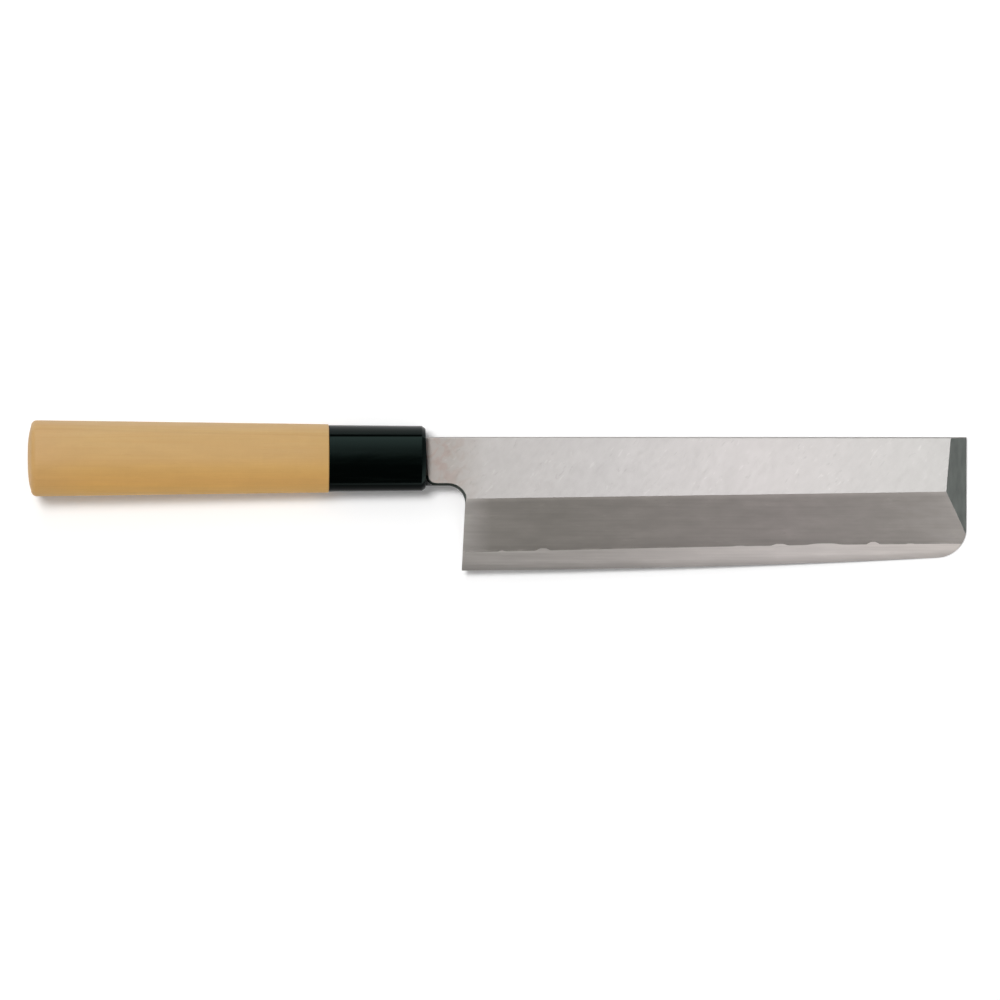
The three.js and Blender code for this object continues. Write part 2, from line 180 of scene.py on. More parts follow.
class NodePad:
    """A node tree and the few kinds of node that the finishes and the studio share."""

    def __init__(self, owner: Material | bpy.types.World, shader: str) -> None:
        """Opens the tree of a material or of the world.

        Args:
            owner: the material or world.
            shader: Blender's name for the kind of shader to feed.
        """
        owner.use_nodes = True
        self.tree = owner.node_tree
        self.shader = next(n for n in self.tree.nodes if n.type == shader)

    def feed(self, socket: Socket, value: Any) -> None:
        """Gives a socket a constant, or links it to another node's output.

        Args:
            socket: the socket.
            value: the constant or the output.
        """
        if isinstance(value, Socket):
            self.tree.links.new(value, socket)
        else:
            socket.default_value = value

    def fill(self, node: bpy.types.Node, **inputs: Any) -> None:
        """Feeds a node's sockets by name, with underscores for the spaces."""
        for name, value in inputs.items():
            self.feed(node.inputs[name.replace("_", " ").title().replace("Ior", "IOR")], value)

    def set(self, **inputs: Any) -> None:
        """Feeds the shader's sockets by name."""
        self.fill(self.shader, **inputs)

    def node(self, kind: str, *values: Any, **settings: Any) -> bpy.types.Node:
        """Adds a node.

        Args:
            kind: the last part of Blender's name for its kind.
            values: constants or outputs for its first sockets, in order.
            settings: the node's own settings.

        Returns:
            The node.
        """
        node = self.tree.nodes.new("ShaderNode" + kind)
        for name, setting in settings.items():
            setattr(node, name, setting)
        for socket, value in zip(node.inputs, values):
            self.feed(socket, value)
        return node

    def split(self, vector: Socket) -> list[Socket]:
        """Returns a vector's x, y and z."""
        return list(self.node("SeparateXYZ", vector).outputs)

    def maths(self, operation: str, *values: Any, clamp: bool = False) -> Socket:
        """Returns the result of a math node, kept within 0 and 1 where clamp says so."""
        return self.node("Math", *values, operation=operation, use_clamp=clamp).outputs[0]

    def spread(self, value: Socket, span: Span, start: float = 0.0, end: float = 1.0) -> Socket:
        """Returns a soft step over a span of a value, from start below it to end above it."""
        return self.node("MapRange", value, *span, start, end, interpolation_type="SMOOTHSTEP").outputs[0]


class NodeSketch(NodePad):
    """Draws the node tree of one material, with its textures fixed to the knife."""

    def __init__(self, name: str, pose: KnifePose) -> None:
        """Starts a material.

        Args:
            name: the material's name.
            pose: the knife's pose, for the texture space.
        """
        self.material = bpy.data.materials.new(name)
        super().__init__(self.material, "BSDF_PRINCIPLED")
        mapping = self.node("Mapping", self.node("TexCoord").outputs["Object"], vector_type="TEXTURE")
        self.fill(mapping, location=pose.origin, rotation=(0.0, pose.tilt, 0.0), scale=(MM, MM, MM))
        self.place = mapping.outputs["Vector"]
        self.x, self.y, _ = self.split(self.place)

    def grain(self, pitch: Size, turn: float = 0.0, detail: float = 3.0, wander: float = 0.0) -> Socket:
        """Adds noise whose features are pitch millimetres long on each axis.

        Args:
            pitch: feature size on x, y and z.
            turn: angle in degrees of the features' x axis from the knife's, about z.
            detail: octaves.
            wander: distortion.

        Returns:
            The noise, about 0.5 on average.
        """
        turned = self.node("VectorRotate", self.place, rotation_type="Z_AXIS")
        self.fill(turned, angle=-math.radians(turn))
        sized = self.node("VectorMath", turned.outputs[0], pitch, operation="DIVIDE")
        noise = self.node("TexNoise", sized.outputs[0])
        self.fill(noise, scale=1.0, detail=detail, distortion=wander)
        return noise.outputs["Fac"]

    def ramp(self, value: Socket, stops: Tones) -> Socket:
        """Adds a colour ramp over any range of a value.

        Args:
            value: the output to colour.
            stops: values with their colours, in order.

        Returns:
            The colour's socket.
        """
        low, high = stops[0][0], stops[-1][0]
        share = self.maths("DIVIDE", self.maths("SUBTRACT", value, low), high - low, clamp=True)
        node = self.node("ValToRGB", share)
        elements = node.color_ramp.elements
        while len(elements) < len(stops):
            elements.new(0.5)
        for element, (at, colour) in zip(elements, stops):
            element.position = (at - low) / (high - low)
            element.color = colour
        return node.outputs["Color"]

    def mix(self, share: Socket, first: Any, second: Any) -> Socket:
        """Mixes two colours.

        Args:
            share: how much of the second.
            first: a colour.
            second: a colour.

        Returns:
            The mixed colour's socket.
        """
        node = self.node("Mix", share, data_type="RGBA")
        for socket, colour in zip((s for s in node.inputs if s.type == "RGBA"), (first, second)):
            self.feed(socket, colour)
        return next(s for s in node.outputs if s.type == "RGBA")

    def shade(self, colour: Any, factor: Socket) -> Socket:
        """Returns a colour multiplied by a factor about 1."""
        return self.node("VectorMath", colour, factor, operation="MULTIPLY").outputs[0]

    def around(self, noise: Socket, swing: float) -> Socket:
        """Returns 1 plus or minus about half of swing, following a noise."""
        return self.maths("ADD", self.maths("MULTIPLY", noise, swing), 1 - swing / 2)

    def line(self, climb: float, start: float) -> Socket:
        """Returns the height of a straight line that starts where x is 0 and climbs along the knife."""
        return self.maths("MULTIPLY_ADD", self.x, climb, start)

    def bump(self, *heights: tuple[Socket, float]) -> None:
        """Adds relief to the shader.

        Args:
            heights: noises, each with its depth in millimetres.
        """
        below: Socket | None = None
        for height, depth in heights:
            node = self.node("Bump")
            self.fill(node, distance=depth * MM, height=height)
            if below is not None:
                self.fill(node, normal=below)
            below = node.outputs["Normal"]
        self.set(normal=below)


@dataclass(frozen=True)
class Finish:
    """What every finish has: a name, and a way to draw it."""

    name: str

    def draw(self, sketch: NodeSketch) -> None:
        """Draws the finish, in a way of its own."""
        raise NotImplementedError

    def make(self, pose: KnifePose) -> Material:
        """Makes the material.

        Args:
            pose: the knife's pose.

        Returns:
            The material.
        """
        sketch = NodeSketch(self.name, pose)
        self.draw(sketch)
        return sketch.material


@dataclass(frozen=True)
class GroundSteel(Finish):
    """Steel or iron ground or polished in one direction, with lines, broad patches and short marks.

    Tones lie along the blade, each at its x. A pitch is the size of features, a turn their angle in degrees
    from the blade's length, and a swing how much they change the colour or the roughness. The marks come in
    groups, with a stray share between them; pale_marks, dark_marks and mark_groups are levels of noise.
    """

    tones: Tones
    line_pitch: Size
    line_turn: float = 0.0
    line_swing: float = 0.1
    cloud_swing: float = 0.06
    roughness: float = 0.4
    rough_swing: float = 0.3
    relief: float = 0.004
    cloud_pitch: Size = (26.0, 9.0, 9.0)
    mark: float = 0.0
    mark_stray: float = 0.15
    mark_pitch: Size = (3.2, 0.55, 0.55)
    pale_marks: Span = (0.26, 0.36)
    dark_marks: Span = (0.64, 0.74)
    mark_groups: Span = (0.46, 0.6)

    def coat(self, sketch: NodeSketch, tone: Socket) -> Socket:
        """Returns the colour as it is; the kinds below add to it."""
        return tone

    def draw(self, sketch: NodeSketch) -> None:
        """Draws the metal with its lines, patches and marks.

        Args:
            sketch: the material's sketch.
        """
        lines = sketch.grain(self.line_pitch, self.line_turn, detail=4.0)
        cloud = sketch.grain(self.cloud_pitch, self.line_turn, detail=2.0)
        tone = sketch.ramp(sketch.x, self.tones)
        tone = sketch.shade(tone, sketch.around(lines, self.line_swing))
        tone = sketch.shade(tone, sketch.around(cloud, self.cloud_swing))
        if self.mark:
            marks = sketch.grain(self.mark_pitch, self.line_turn, detail=1.0, wander=0.4)
            pale = sketch.spread(marks, self.pale_marks, 1.0, 0.0)
            strokes = sketch.maths("SUBTRACT", pale, sketch.spread(marks, self.dark_marks))
            groups = sketch.spread(cloud, self.mark_groups, self.mark_stray * self.mark, self.mark)
            tone = sketch.shade(tone, sketch.maths("MULTIPLY_ADD", strokes, groups, 1.0))
        rough = sketch.maths("MULTIPLY", sketch.around(lines, self.rough_swing), self.roughness)
        sketch.set(base_color=self.coat(sketch, tone), metallic=1.0, roughness=rough)
        sketch.bump((lines, self.relief))


@dataclass(frozen=True)
class StainedFace(GroundSteel):
    """Polished iron above the bevel, stained in patches beside the ferrule.

    The reach is where the stains begin to fade and where they end, and the levels are those of their noise.
    """

    stain: Colour = linear(146, 130, 124)
    stain_strength: float = 0.65
    stain_reach: Span = (1.0, 20.0)
    stain_pitch: Size = (4.0, 3.0, 3.0)
    stain_levels: Span = (0.42, 0.62)

    def coat(self, sketch: NodeSketch, tone: Socket) -> Socket:
        """Adds the stains.

        Args:
            sketch: the material's sketch.
            tone: the iron's colour.

        Returns:
            The stained colour.
        """
        patches = sketch.grain(self.stain_pitch, self.line_turn, wander=0.8)
        near = sketch.spread(sketch.x, self.stain_reach, self.stain_strength, 0.0)
        share = sketch.maths("MULTIPLY", near, sketch.spread(patches, self.stain_levels))
        return sketch.mix(share, tone, self.stain)


@dataclass(frozen=True)
class HazedBevel(GroundSteel):
    """Iron of the main bevel, hazed by a stone, darker above the weld and lighter along its two borders.

    The weld and the ridge are straight lines here, each with its height where x is 0 and its climb. A pale
    fringe follows the weld, broken up by wisps, and a pale crown lies under the ridge.
    """

    weld_start: float = -31.33
    weld_climb: float = 0.0155
    dark_height: float = 5.0
    dark: float = 0.12
    fringe: float = 0.3
    fringe_height: Span = (0.1, 1.1)
    wisp_pitch: Size = (5.0, 2.0, 2.0)
    wisp_levels: Span = (0.42, 0.6)
    ridge_start: float = field(kw_only=True)
    ridge_climb: float = field(kw_only=True)
    crown: float = 0.22
    crown_height: float = 1.8

    def coat(self, sketch: NodeSketch, tone: Socket) -> Socket:
        """Adds the haze and the pale borders.

        Args:
            sketch: the material's sketch.
            tone: the iron's colour.

        Returns:
            The hazed colour.
        """
        above = sketch.maths("SUBTRACT", sketch.y, sketch.line(self.weld_climb, self.weld_start))
        under = sketch.maths("SUBTRACT", sketch.line(self.ridge_climb, self.ridge_start), sketch.y)
        haze = sketch.spread(above, (0.0, self.dark_height), 1 - self.dark, 1.0)
        crown = sketch.spread(under, (0.0, self.crown_height), 1 + self.crown, 1.0)
        wisps = sketch.spread(sketch.grain(self.wisp_pitch, detail=2.0), self.wisp_levels, 0.0, self.fringe)
        border = sketch.spread(above, self.fringe_height, 1.0, 0.0)
        for factor in (haze, crown, sketch.maths("MULTIPLY_ADD", border, wisps, 1.0)):
            tone = sketch.shade(tone, factor)
        return tone


@dataclass(frozen=True)
class EdgeBand(GroundSteel):
    """Bright band of hard steel along the edge, which dims where it was last honed.

    The edge has a height and a slope at the heel, and a climb beyond that per square millimetre of length.
    """

    heel: float = field(kw_only=True)
    edge_low: float = field(kw_only=True)
    edge_slope: float = field(kw_only=True)
    edge_climb: float = field(kw_only=True)
    honed: float = 3.0
    dim: float = 0.28

    def coat(self, sketch: NodeSketch, tone: Socket) -> Socket:
        """Dims the honed strip.

        Args:
            sketch: the material's sketch.
            tone: the steel's colour.

        Returns:
            The dimmed colour.
        """
        along = sketch.maths("SUBTRACT", sketch.x, self.heel)
        slope = sketch.maths("MULTIPLY_ADD", along, self.edge_climb, self.edge_slope)
        edge = sketch.maths("MULTIPLY_ADD", along, slope, self.edge_low)
        height = sketch.maths("SUBTRACT", sketch.y, edge)
        return sketch.shade(tone, sketch.spread(height, (0.0, self.honed), 1 - self.dim, 1.0))


@dataclass(frozen=True)
class Magnolia(Finish):
    """Bare magnolia, with fine straight grain and faint flecks across it.

    Tones lie across the handle, each at its y, and paint light and shade across it. The wood is worn towards
    the butt, over wear_reach, and a darker line of painted shade follows the handle's ridge, which has a
    height where x is 0 and a climb.
    """

    tones: Tones
    grain_length: float = 50.0
    pore_strength: float = 0.16
    late: Colour = linear(188, 146, 88)
    pore: Colour = linear(150, 108, 62)
    worn: Colour = linear(190, 150, 98)
    wear: float = 0.45
    wear_reach: Span = (-131.0, -108.0)
    crest_start: float = field(kw_only=True)
    crest_climb: float = field(kw_only=True)
    crest_shade: float = 0.045
    crest_width: Span = (0.1, 0.5)
    mottle_swing: float = 0.16
    fleck_swing: float = 0.05
    roughness: float = 0.46
    rough_swing: float = 0.16
    line_depth: float = 0.02
    pore_depth: float = 0.015

    def draw(self, sketch: NodeSketch) -> None:
        """Draws the wood.

        Args:
            sketch: the material's sketch.
        """
        length = self.grain_length
        mottle = sketch.grain((0.3 * length, 5.0, 5.0), wander=0.6)
        flecks = sketch.grain((1.1, 4.0, 4.0), turn=-8.0, wander=0.8)
        bands = sketch.grain((1.6 * length, 2.2, 4.0), detail=2.0, wander=0.4)
        lines = sketch.grain((1.2 * length, 0.55, 0.7), detail=4.0)
        pores = sketch.grain((0.1 * length, 0.13, 0.13), detail=1.0)
        crest = sketch.line(self.crest_climb, self.crest_start)
        aside = sketch.maths("ABSOLUTE", sketch.maths("SUBTRACT", sketch.y, crest))
        # The tones across y are painted light and shade: lighter on the lower flank against its shade, and
        # lighter at the top where the light falls.
        tone = sketch.ramp(sketch.y, self.tones)
        tone = sketch.mix(sketch.spread(sketch.x, self.wear_reach, self.wear, 0.0), tone, self.worn)
        # Painted shade: a darker line along the handle's ridge.
        tone = sketch.shade(tone, sketch.spread(aside, self.crest_width, 1 - self.crest_shade, 1.0))
        tone = sketch.shade(tone, sketch.around(mottle, self.mottle_swing))
        tone = sketch.shade(tone, sketch.around(flecks, self.fleck_swing))
        for noise, levels, strength, colour in (
            (bands, (0.4, 0.75), 0.3, self.late),
            (lines, (0.45, 0.7), 0.26, self.late),
            (pores, (0.62, 0.78), self.pore_strength, self.pore),
        ):
            tone = sketch.mix(sketch.spread(noise, levels, 0.0, strength), tone, colour)
        rough = sketch.maths("MULTIPLY_ADD", lines, self.rough_swing, self.roughness)
        sketch.set(base_color=tone, roughness=rough, specular_ior_level=0.35)
        sketch.bump((lines, self.line_depth), (pores, self.pore_depth))


@dataclass(frozen=True)
class PolishedHorn(Finish):
    """Black buffalo horn, polished, with a green cast and faint streaks along its length.

    Its shine is turned down above the handle's crest, and more below its flank, as painted shade that hides
    the table's reflection there; both are spans of y.
    """

    dark: Colour = (0.0005, 0.0011, 0.0009, 1.0)
    streak: Colour = (0.003, 0.0046, 0.004, 1.0)
    gloss: Colour = (0.64, 1.0, 0.91, 1.0)
    roughness: float = 0.08
    shine: float = 0.5
    crest: Span = (7.1, 7.3)
    crest_shine: float = 0.27
    flank: Span = (-9.0, -8.0)
    flank_shine: float = 0.05
    streak_levels: Span = (0.5, 0.8)
    streak_strength: float = 0.8
    streak_depth: float = 0.012
    rough_swing: float = 0.1

    def draw(self, sketch: NodeSketch) -> None:
        """Draws the horn.

        Args:
            sketch: the material's sketch.
        """
        streaks = sketch.grain((30.0, 1.1, 1.1), detail=4.0, wander=0.5)
        scuffs = sketch.grain((6.0, 0.25, 0.25), turn=12.0, detail=2.0)
        # Painted shade: the shine is turned down above the crest and below the flank, to hide the table's
        # reflection there.
        above = sketch.spread(sketch.y, self.crest, self.shine, self.crest_shine)
        below = sketch.spread(sketch.y, self.flank, self.flank_shine, self.shine)
        share = sketch.spread(streaks, self.streak_levels, 0.0, self.streak_strength)
        sketch.set(
            base_color=sketch.mix(share, self.dark, self.streak),
            roughness=sketch.maths("MULTIPLY_ADD", scuffs, self.rough_swing, self.roughness),
            specular_tint=self.gloss,
            specular_ior_level=sketch.maths("MINIMUM", above, below),
            ior=1.3,
        )
        sketch.bump((streaks, self.streak_depth))


@dataclass(frozen=True)
class Compound(Finish):
    """Dull compound, poured or pressed into a joint, with a slightly uneven skin."""

    colour: Colour
    roughness: float = 0.5
    swing: float = 0.5
    rough_swing: float = 0.4
    relief: float = 0.05

    def draw(self, sketch: NodeSketch) -> None:
        """Draws the compound.

        Args:
            sketch: the material's sketch.
        """
        skin = sketch.grain((1.4, 1.4, 1.4), detail=4.0)
        tone = sketch.shade(self.colour[:3], sketch.around(skin, self.swing))
        rough = sketch.maths("MULTIPLY", sketch.around(skin, self.rough_swing), self.roughness)
        sketch.set(base_color=tone, roughness=rough)
        sketch.bump((skin, self.relief))


@dataclass
class MeshDraft:
    """Vertices in the knife's frame and faces with a finish each, on the way to a Blender mesh.

    Vertices merge when they are nearer than merge, and an edge between two finishes shades sharp past
    finish_crease, in degrees.
    """

    points: list[Vector] = field(default_factory=list)
    faces: list[tuple[int, ...]] = field(default_factory=list)
    finishes: list[int] = field(default_factory=list)
    merge: float = 0.002
    finish_crease: float = 1.0

    def point(self, x: float, y: float, z: float) -> int:
        """Adds a vertex and returns its number."""
        self.points.append(Vector((x, y, z)))
        return len(self.points) - 1

    def face(self, corners: Iterable[int], finish: int) -> None:
        """Adds a face with a finish."""
        self.faces.append(tuple(corners))
        self.finishes.append(finish)

    def loft(self, rings: Sequence[Sequence[Vector]], finishes: Sequence[int], closed: bool = False) -> None:
        """Joins a row of rings that have as many points each.

        Args:
            rings: the rings, all running the same way round.
            finishes: the finish of the strip after each ring.
            closed: whether the last ring joins the first; otherwise both ends are capped.
        """
        count = len(rings[0])
        rows = [[self.point(*p) for p in ring] for ring in rings]
        following = rows[1:] + (rows[:1] if closed else [])
        for row, beyond, finish in zip(rows, following, finishes):
            for i in range(count):
                after = (i + 1) % count
                self.face((row[i], row[after], beyond[after], beyond[i]), finish)
        if not closed:
            self.face(reversed(rows[0]), finishes[0])
            self.face(rows[-1], finishes[-1])

    def build(
        self, name: str, pose: KnifePose, materials: Sequence[Material], crease: float
    ) -> bpy.types.Object:
        """Makes the object.

        Args:
            name: the object's name.
            pose: the knife's pose.
            materials: the materials that the finishes number.
            crease: angle in degrees past which an edge within a finish shades sharp.

        Returns:
            The object, linked to the scene.
        """
        work = bmesh.new()
        made = [work.verts.new(pose.place(p)) for p in self.points]
        for corners, finish in zip(self.faces, self.finishes):
            face = work.faces.new([made[i] for i in corners])
            face.material_index = finish
            face.smooth = True
        bmesh.ops.delete(work, geom=[v for v in work.verts if not v.link_faces], context="VERTS")
        bmesh.ops.remove_doubles(work, verts=work.verts, dist=self.merge * MM)
        bmesh.ops.recalc_face_normals(work, faces=work.faces)
        for edge in work.edges:
            sides = {face.material_index for face in edge.link_faces}
            limit = math.radians(crease if len(sides) == 1 else self.finish_crease)
            edge.smooth = edge.calc_face_angle(0.0) < limit
        mesh = bpy.data.meshes.new(name)
        work.to_mesh(mesh)
        work.free()
        for material in materials:
            mesh.materials.append(material)
        return link(name, mesh)


def stand_for(piece: bpy.types.Object, node: str) -> None:
    """Puts a piece in the place of a node of the frame.

    Args:
        piece: the piece.
        node: the node that it replaces.
    """
    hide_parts(node)
    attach(piece, BODY)
    LOG.info("%s stands for %s, with %d faces", piece.name, node, len(piece.data.polygons))


class Zone(Enum):
    """Surfaces of the blade, each with its own finish."""

    FACE = 0
    BEVEL = 1
    TIP = 2
    EASED = 3
    SIDE = 4
    LAND = 5
    HOLLOW = 6
    NECK = 7


Surface = tuple[float, Zone]
Triangles = tuple[list[Vector], list[list[int]]]


class PlanSketch:
    """Points and lines in the blade's plan that its mesh has to follow."""

    def __init__(self) -> None:
        """Starts an empty sketch."""
        self.points: list[Vector] = []
        self.lines: list[tuple[int, int]] = []

    def add(self, path: Sequence[Plan], closed: bool = False) -> None:
        """Adds a path.

        Args:
            path: its points, or a single one.
            closed: whether its end joins its start.
        """
        first = len(self.points)
        self.points += [Vector(p) for p in path]
        self.lines += [(first + i, first + i + 1) for i in range(len(path) - 1)]
        if closed:
            self.lines.append((len(self.points) - 1, first))

    def triangles(self, inside_only: int = 1, nearness: float = 1e-5) -> Triangles:
        """Returns the points and triangles of everything inside the closed paths."""
        made = delaunay_2d_cdt(self.points, self.lines, [], inside_only, nearness)
        return made[0], made[2]


@dataclass
class Blade:
    """Laminated single-bevel blade: iron with its neck and tang, and edge steel under it.

    The heights follow from the sizes, as on the real blade: the taper, the main bevel, the tip's bevel, the
    hollow in the back, the eased edges and the weld. Both pieces share one plan, cut into triangles along
    every line. Each ripple of the weld has a place along the blade, a reach to either side and a rise. The
    numbers of steps say how finely lines are drawn, and an overrun how far one goes past the outline.
    """

    length: float = 180.0
    neck_length: float = 12.1
    spine: float = 7.1
    heel_drop: float = 37.25
    heel_lean: float = math.radians(2.8)
    neck_drop: float = 9.1
    edge_rise: float = 4.75
    edge_belly: float = 0.87
    tip_corner_radius: float = 9.8
    heel_fillet_radius: float = 5.8
    notch_radius: float = 3.6
    neck_thickness: float = 3.6
    tip_thickness: float = 2.6
    edge_thickness: float = 0.15
    least_thickness: float = 0.001
    ridge_drop_heel: float = 13.4
    ridge_drop_tip: float = 10.95
    ridge_lead: float = 2.0
    bevel_wheel_radius: float = 900.0
    tip_bevel_spine: float = 5.3
    tip_bevel_ridge: float = 6.8
    tip_bevel_slope: float = math.tan(math.radians(12.3))
    tip_bevel_reach: float = 9.0
    tip_bevel_overrun: float = 4.0
    spine_ease: float = 0.4
    neck_ease: float = 0.9
    neck_ease_fade: float = 0.5
    hollow_wheel_radius: float = 500.0
    hollow_spine_land: float = 3.0
    hollow_edge_land: float = 1.4
    hollow_heel_land: float = 5.0
    hollow_tip_land: float = 8.0
    hollow_squareness: float = 5.0
    hollow_run_out: float = 6.0
    weld_heel: float = 0.93
    weld_tip: float = 0.555
    weld_run_out: float = 2.4
    weld_start: float = 4.5
    weld_scarf: float = 9.0
    weld_thin_end: float = 0.27
    weld_gap: float = 0.02
    weld_lap: float = 0.024
    weld_overrun: float = 0.5
    weld_headroom: float = 0.1
    ripples: tuple[Size, ...] = (
        (25.4, 0.9, 0.04),
        (39.1, 1.9, 0.1),
        (104.4, 1.8, 0.02),
        (117.8, 2.2, 0.065),
        (132.6, 5.0, 0.055),
        (149.0, 1.7, 0.09),
        (161.4, 1.2, 0.02),
    )
    tang_length: float = 92.0
    tang_end_height: float = 5.0
    tang_end_thickness: float = 2.2
    grid: float = 3.0
    edge_steps: int = 48
    round_steps: int = 20
    notch_steps: int = 16
    ease_steps: int = 4
    weld_steps: int = 230
    hollow_steps: int = 96
    crease: float = 30.0

    def __post_init__(self) -> None:
        """Works out the rounds of the outline, and where the hollow and the edge steel lie."""
        self.heel = Vector((self.neck_length, -self.heel_drop))
        chord = Vector((self.length - self.neck_length, self.edge_rise))
        self.edge_radius = (chord.length_squared / 4 + self.edge_belly**2) / (2 * self.edge_belly)
        across = Vector((-chord.y, chord.x)).normalized()
        self.edge_centre = self.heel + chord / 2 + across * (self.edge_radius - self.edge_belly)
        self.notch = Vector((self.notch_radius, self.notch_radius - self.neck_drop))
        fillet_y = -self.neck_drop - self.heel_fillet_radius
        heel_x = self.neck_length + (fillet_y + self.heel_drop) * math.tan(self.heel_lean)
        self.fillet = Vector((heel_x - self.heel_fillet_radius / math.cos(self.heel_lean), fillet_y))
        reach = self.edge_radius - self.tip_corner_radius
        corner_x = self.length - self.tip_corner_radius
        drop = math.sqrt(reach**2 - (corner_x - self.edge_centre.x) ** 2)
        self.corner = Vector((corner_x, self.edge_centre.y - drop))
        self.hollow_start = self.neck_length + self.hollow_heel_land
        self.hollow_end = self.length - self.hollow_tip_land
        self.steel_start = self.weld_start + self.weld_thin_end

    def face(self, x: float) -> float:
        """Returns the height of the ground face."""
        return between(self.neck_thickness, self.tip_thickness, max(x, 0.0) / self.length)

    def ridge(self, x: float) -> float:
        """Returns the main bevel's upper line."""
        share = (x - self.neck_length) / (self.length - self.neck_length)
        return -between(self.ridge_drop_heel, self.ridge_drop_tip, share)

    def edge(self, x: float) -> float:
        """Returns the line of the cutting edge."""
        return self.edge_centre.y - math.sqrt(self.edge_radius**2 - (x - self.edge_centre.x) ** 2)

    def bevel(self, x: float, y: float) -> float:
        """Finds the main bevel, which a large wheel hollows slightly.

        Args:
            x: place along the blade.
            y: place across it.

        Returns:
            Its height.
        """
        ridge, edge = self.ridge(x), self.edge(x)
        share = (ridge - y) / (ridge - edge)
        sag = (ridge - edge) ** 2 / (8 * self.bevel_wheel_radius)
        return between(self.face(x), self.edge_thickness, share) - 4 * sag * share * (1 - share)

    def tip_border(self, y: float) -> float:
        """Returns where the tip's bevel leaves the face."""
        turn = (self.tip_bevel_ridge - self.tip_bevel_spine) / (self.spine - self.ridge(self.length))
        return self.length - self.tip_bevel_spine - (self.spine - y) * turn

    def tip(self, x: float, y: float) -> float:
        """Returns the height of the tip's bevel."""
        start = self.face(self.length - self.tip_bevel_spine)
        return start - (x - self.tip_border(y)) * self.tip_bevel_slope

    def weld(self, x: float) -> float:
        """Finds the weld, which ripples, and thins out at the neck.

        Args:
            x: place along the blade.

        Returns:
            Its height above the back, below zero where there is no edge steel.
        """
        place = max(x, self.weld_start + self.weld_scarf)
        share = max(0.0, place - self.neck_length) / (self.length - self.neck_length)
        steady = between(self.weld_heel, self.weld_tip, share**self.weld_run_out)
        swells = (rise * math.exp(-(((place - at) / reach) ** 4)) for at, reach, rise in self.ripples)
        return (steady + sum(swells)) * min(1.0, (x - self.weld_start) / self.weld_scarf)

    def easing(self, x: float, y: float) -> float:
        """Tells how far the eased edges of the spine and the neck fall below their face.

        Args:
            x: place along the blade.
            y: place across it.

        Returns:
            The fall.
        """
        inward, radius = self.neck_inset(x, y) if y < 0 else (self.spine - y, self.spine_ease)
        if inward >= radius:
            return 0.0
        return radius - math.sqrt(max(0.0, radius**2 - (radius - max(inward, 0.0)) ** 2))

    def eased_zone(self, y: float) -> Zone:
        """Returns which eased edge a place is on, the spine's or the neck's."""
        return Zone.NECK if y < 0 else Zone.EASED

    def wall_zone(self, place: Vector) -> Zone:
        """Returns the surface of the outline's wall at a place."""
        return Zone.NECK if self.neck_inset(place.x, place.y)[0] < self.weld_gap else Zone.SIDE

    def heel_ease(self, angle: float) -> float:
        """Returns the radius of the easing round the fillet, which fades down the heel."""
        return self.neck_ease * smooth(-self.heel_lean, self.neck_ease_fade, angle)

    def neck_inset(self, x: float, y: float) -> Span:
        """Tells how far a place lies inside the neck's lower outline.

        Args:
            x: place along the blade.
            y: place across it.

        Returns:
            The distance, and the radius of the easing there.
        """
        place = Vector((x, y))
        if x < 0 or (x < self.notch.x and y > self.notch.y):
            return math.inf, 0.0
        if x < self.notch.x:
            return self.notch_radius - (place - self.notch).length, self.neck_ease
        if x < self.fillet.x:
            return y + self.neck_drop, self.neck_ease
        spoke = place - self.fillet
        return spoke.length - self.heel_fillet_radius, self.heel_ease(math.atan2(spoke.y, spoke.x))

    def tang_half(self, x: float) -> float:
        """Returns half of the tang's thickness."""
        root = self.neck_thickness / 2 - self.spine_ease
        return between(root, self.tang_end_thickness / 2, -x / self.tang_length)

    def front(self, x: float, y: float) -> Surface:
        """Finds the ground side's surface.

        Args:
            x: place along the blade.
            y: place across it.

        Returns:
            Its height, and which surface it is.
        """
        if x < 0:
            return self.neck_thickness / 2 + self.tang_half(x), Zone.SIDE
        heights = [(self.face(x), Zone.FACE)]
        if x > self.fillet.x:
            heights += [(self.bevel(x, y), Zone.BEVEL), (self.tip(x, y), Zone.TIP)]
        height, zone = min(heights, key=lambda pair: pair[0])
        fall = self.easing(x, y)
        return height - fall, self.eased_zone(y) if fall > 0 else zone

    def hollow_along(self, x: float) -> float:
        """Returns how far along the hollow a place is, from -1 at the heel to 1 at the tip."""
        return 2 * (x - self.hollow_start) / (self.hollow_end - self.hollow_start) - 1

    def hollow_span(self, x: float) -> Size:
        """Measures the hollow in the back across the blade.

        Args:
            x: place along the blade.

        Returns:
            Its middle, its half width there and its half width away from its ends.
        """
        high = self.spine - self.hollow_spine_land
        low = self.edge(x) + self.hollow_edge_land
        power = self.hollow_squareness
        ends = (1 - min(1.0, abs(self.hollow_along(x))) ** power) ** (1 / power)
        return (high + low) / 2, (high - low) / 2 * ends, (high - low) / 2

    def hollow(self, x: float, y: float) -> float:
        """Finds the hollow in the back.

        Args:
            x: place along the blade.
            y: place across it.

        Returns:
            Its depth, 0 outside it.
        """
        along = self.hollow_along(x)
        if abs(along) >= 1:
            return 0.0
        middle, half, full = self.hollow_span(x)
        across = (y - middle) / half
        depth = full**2 / (2 * self.hollow_wheel_radius) * (1 - abs(along) ** self.hollow_run_out)
        return max(0.0, depth * (1 - across**2))

    def back(self, x: float, y: float) -> Surface:
        """Finds the back's surface.

        Args:
            x: place along the blade.
            y: place across it.

        Returns:
            Its height, and which surface it is.
        """
        if x < 0:
            return self.neck_thickness / 2 - self.tang_half(x), Zone.SIDE
        depth = self.hollow(x, y)
        if depth > 0:
            return depth, Zone.HOLLOW
        fall = self.easing(x, y)
        return fall, self.eased_zone(y) if fall > 0 else Zone.LAND

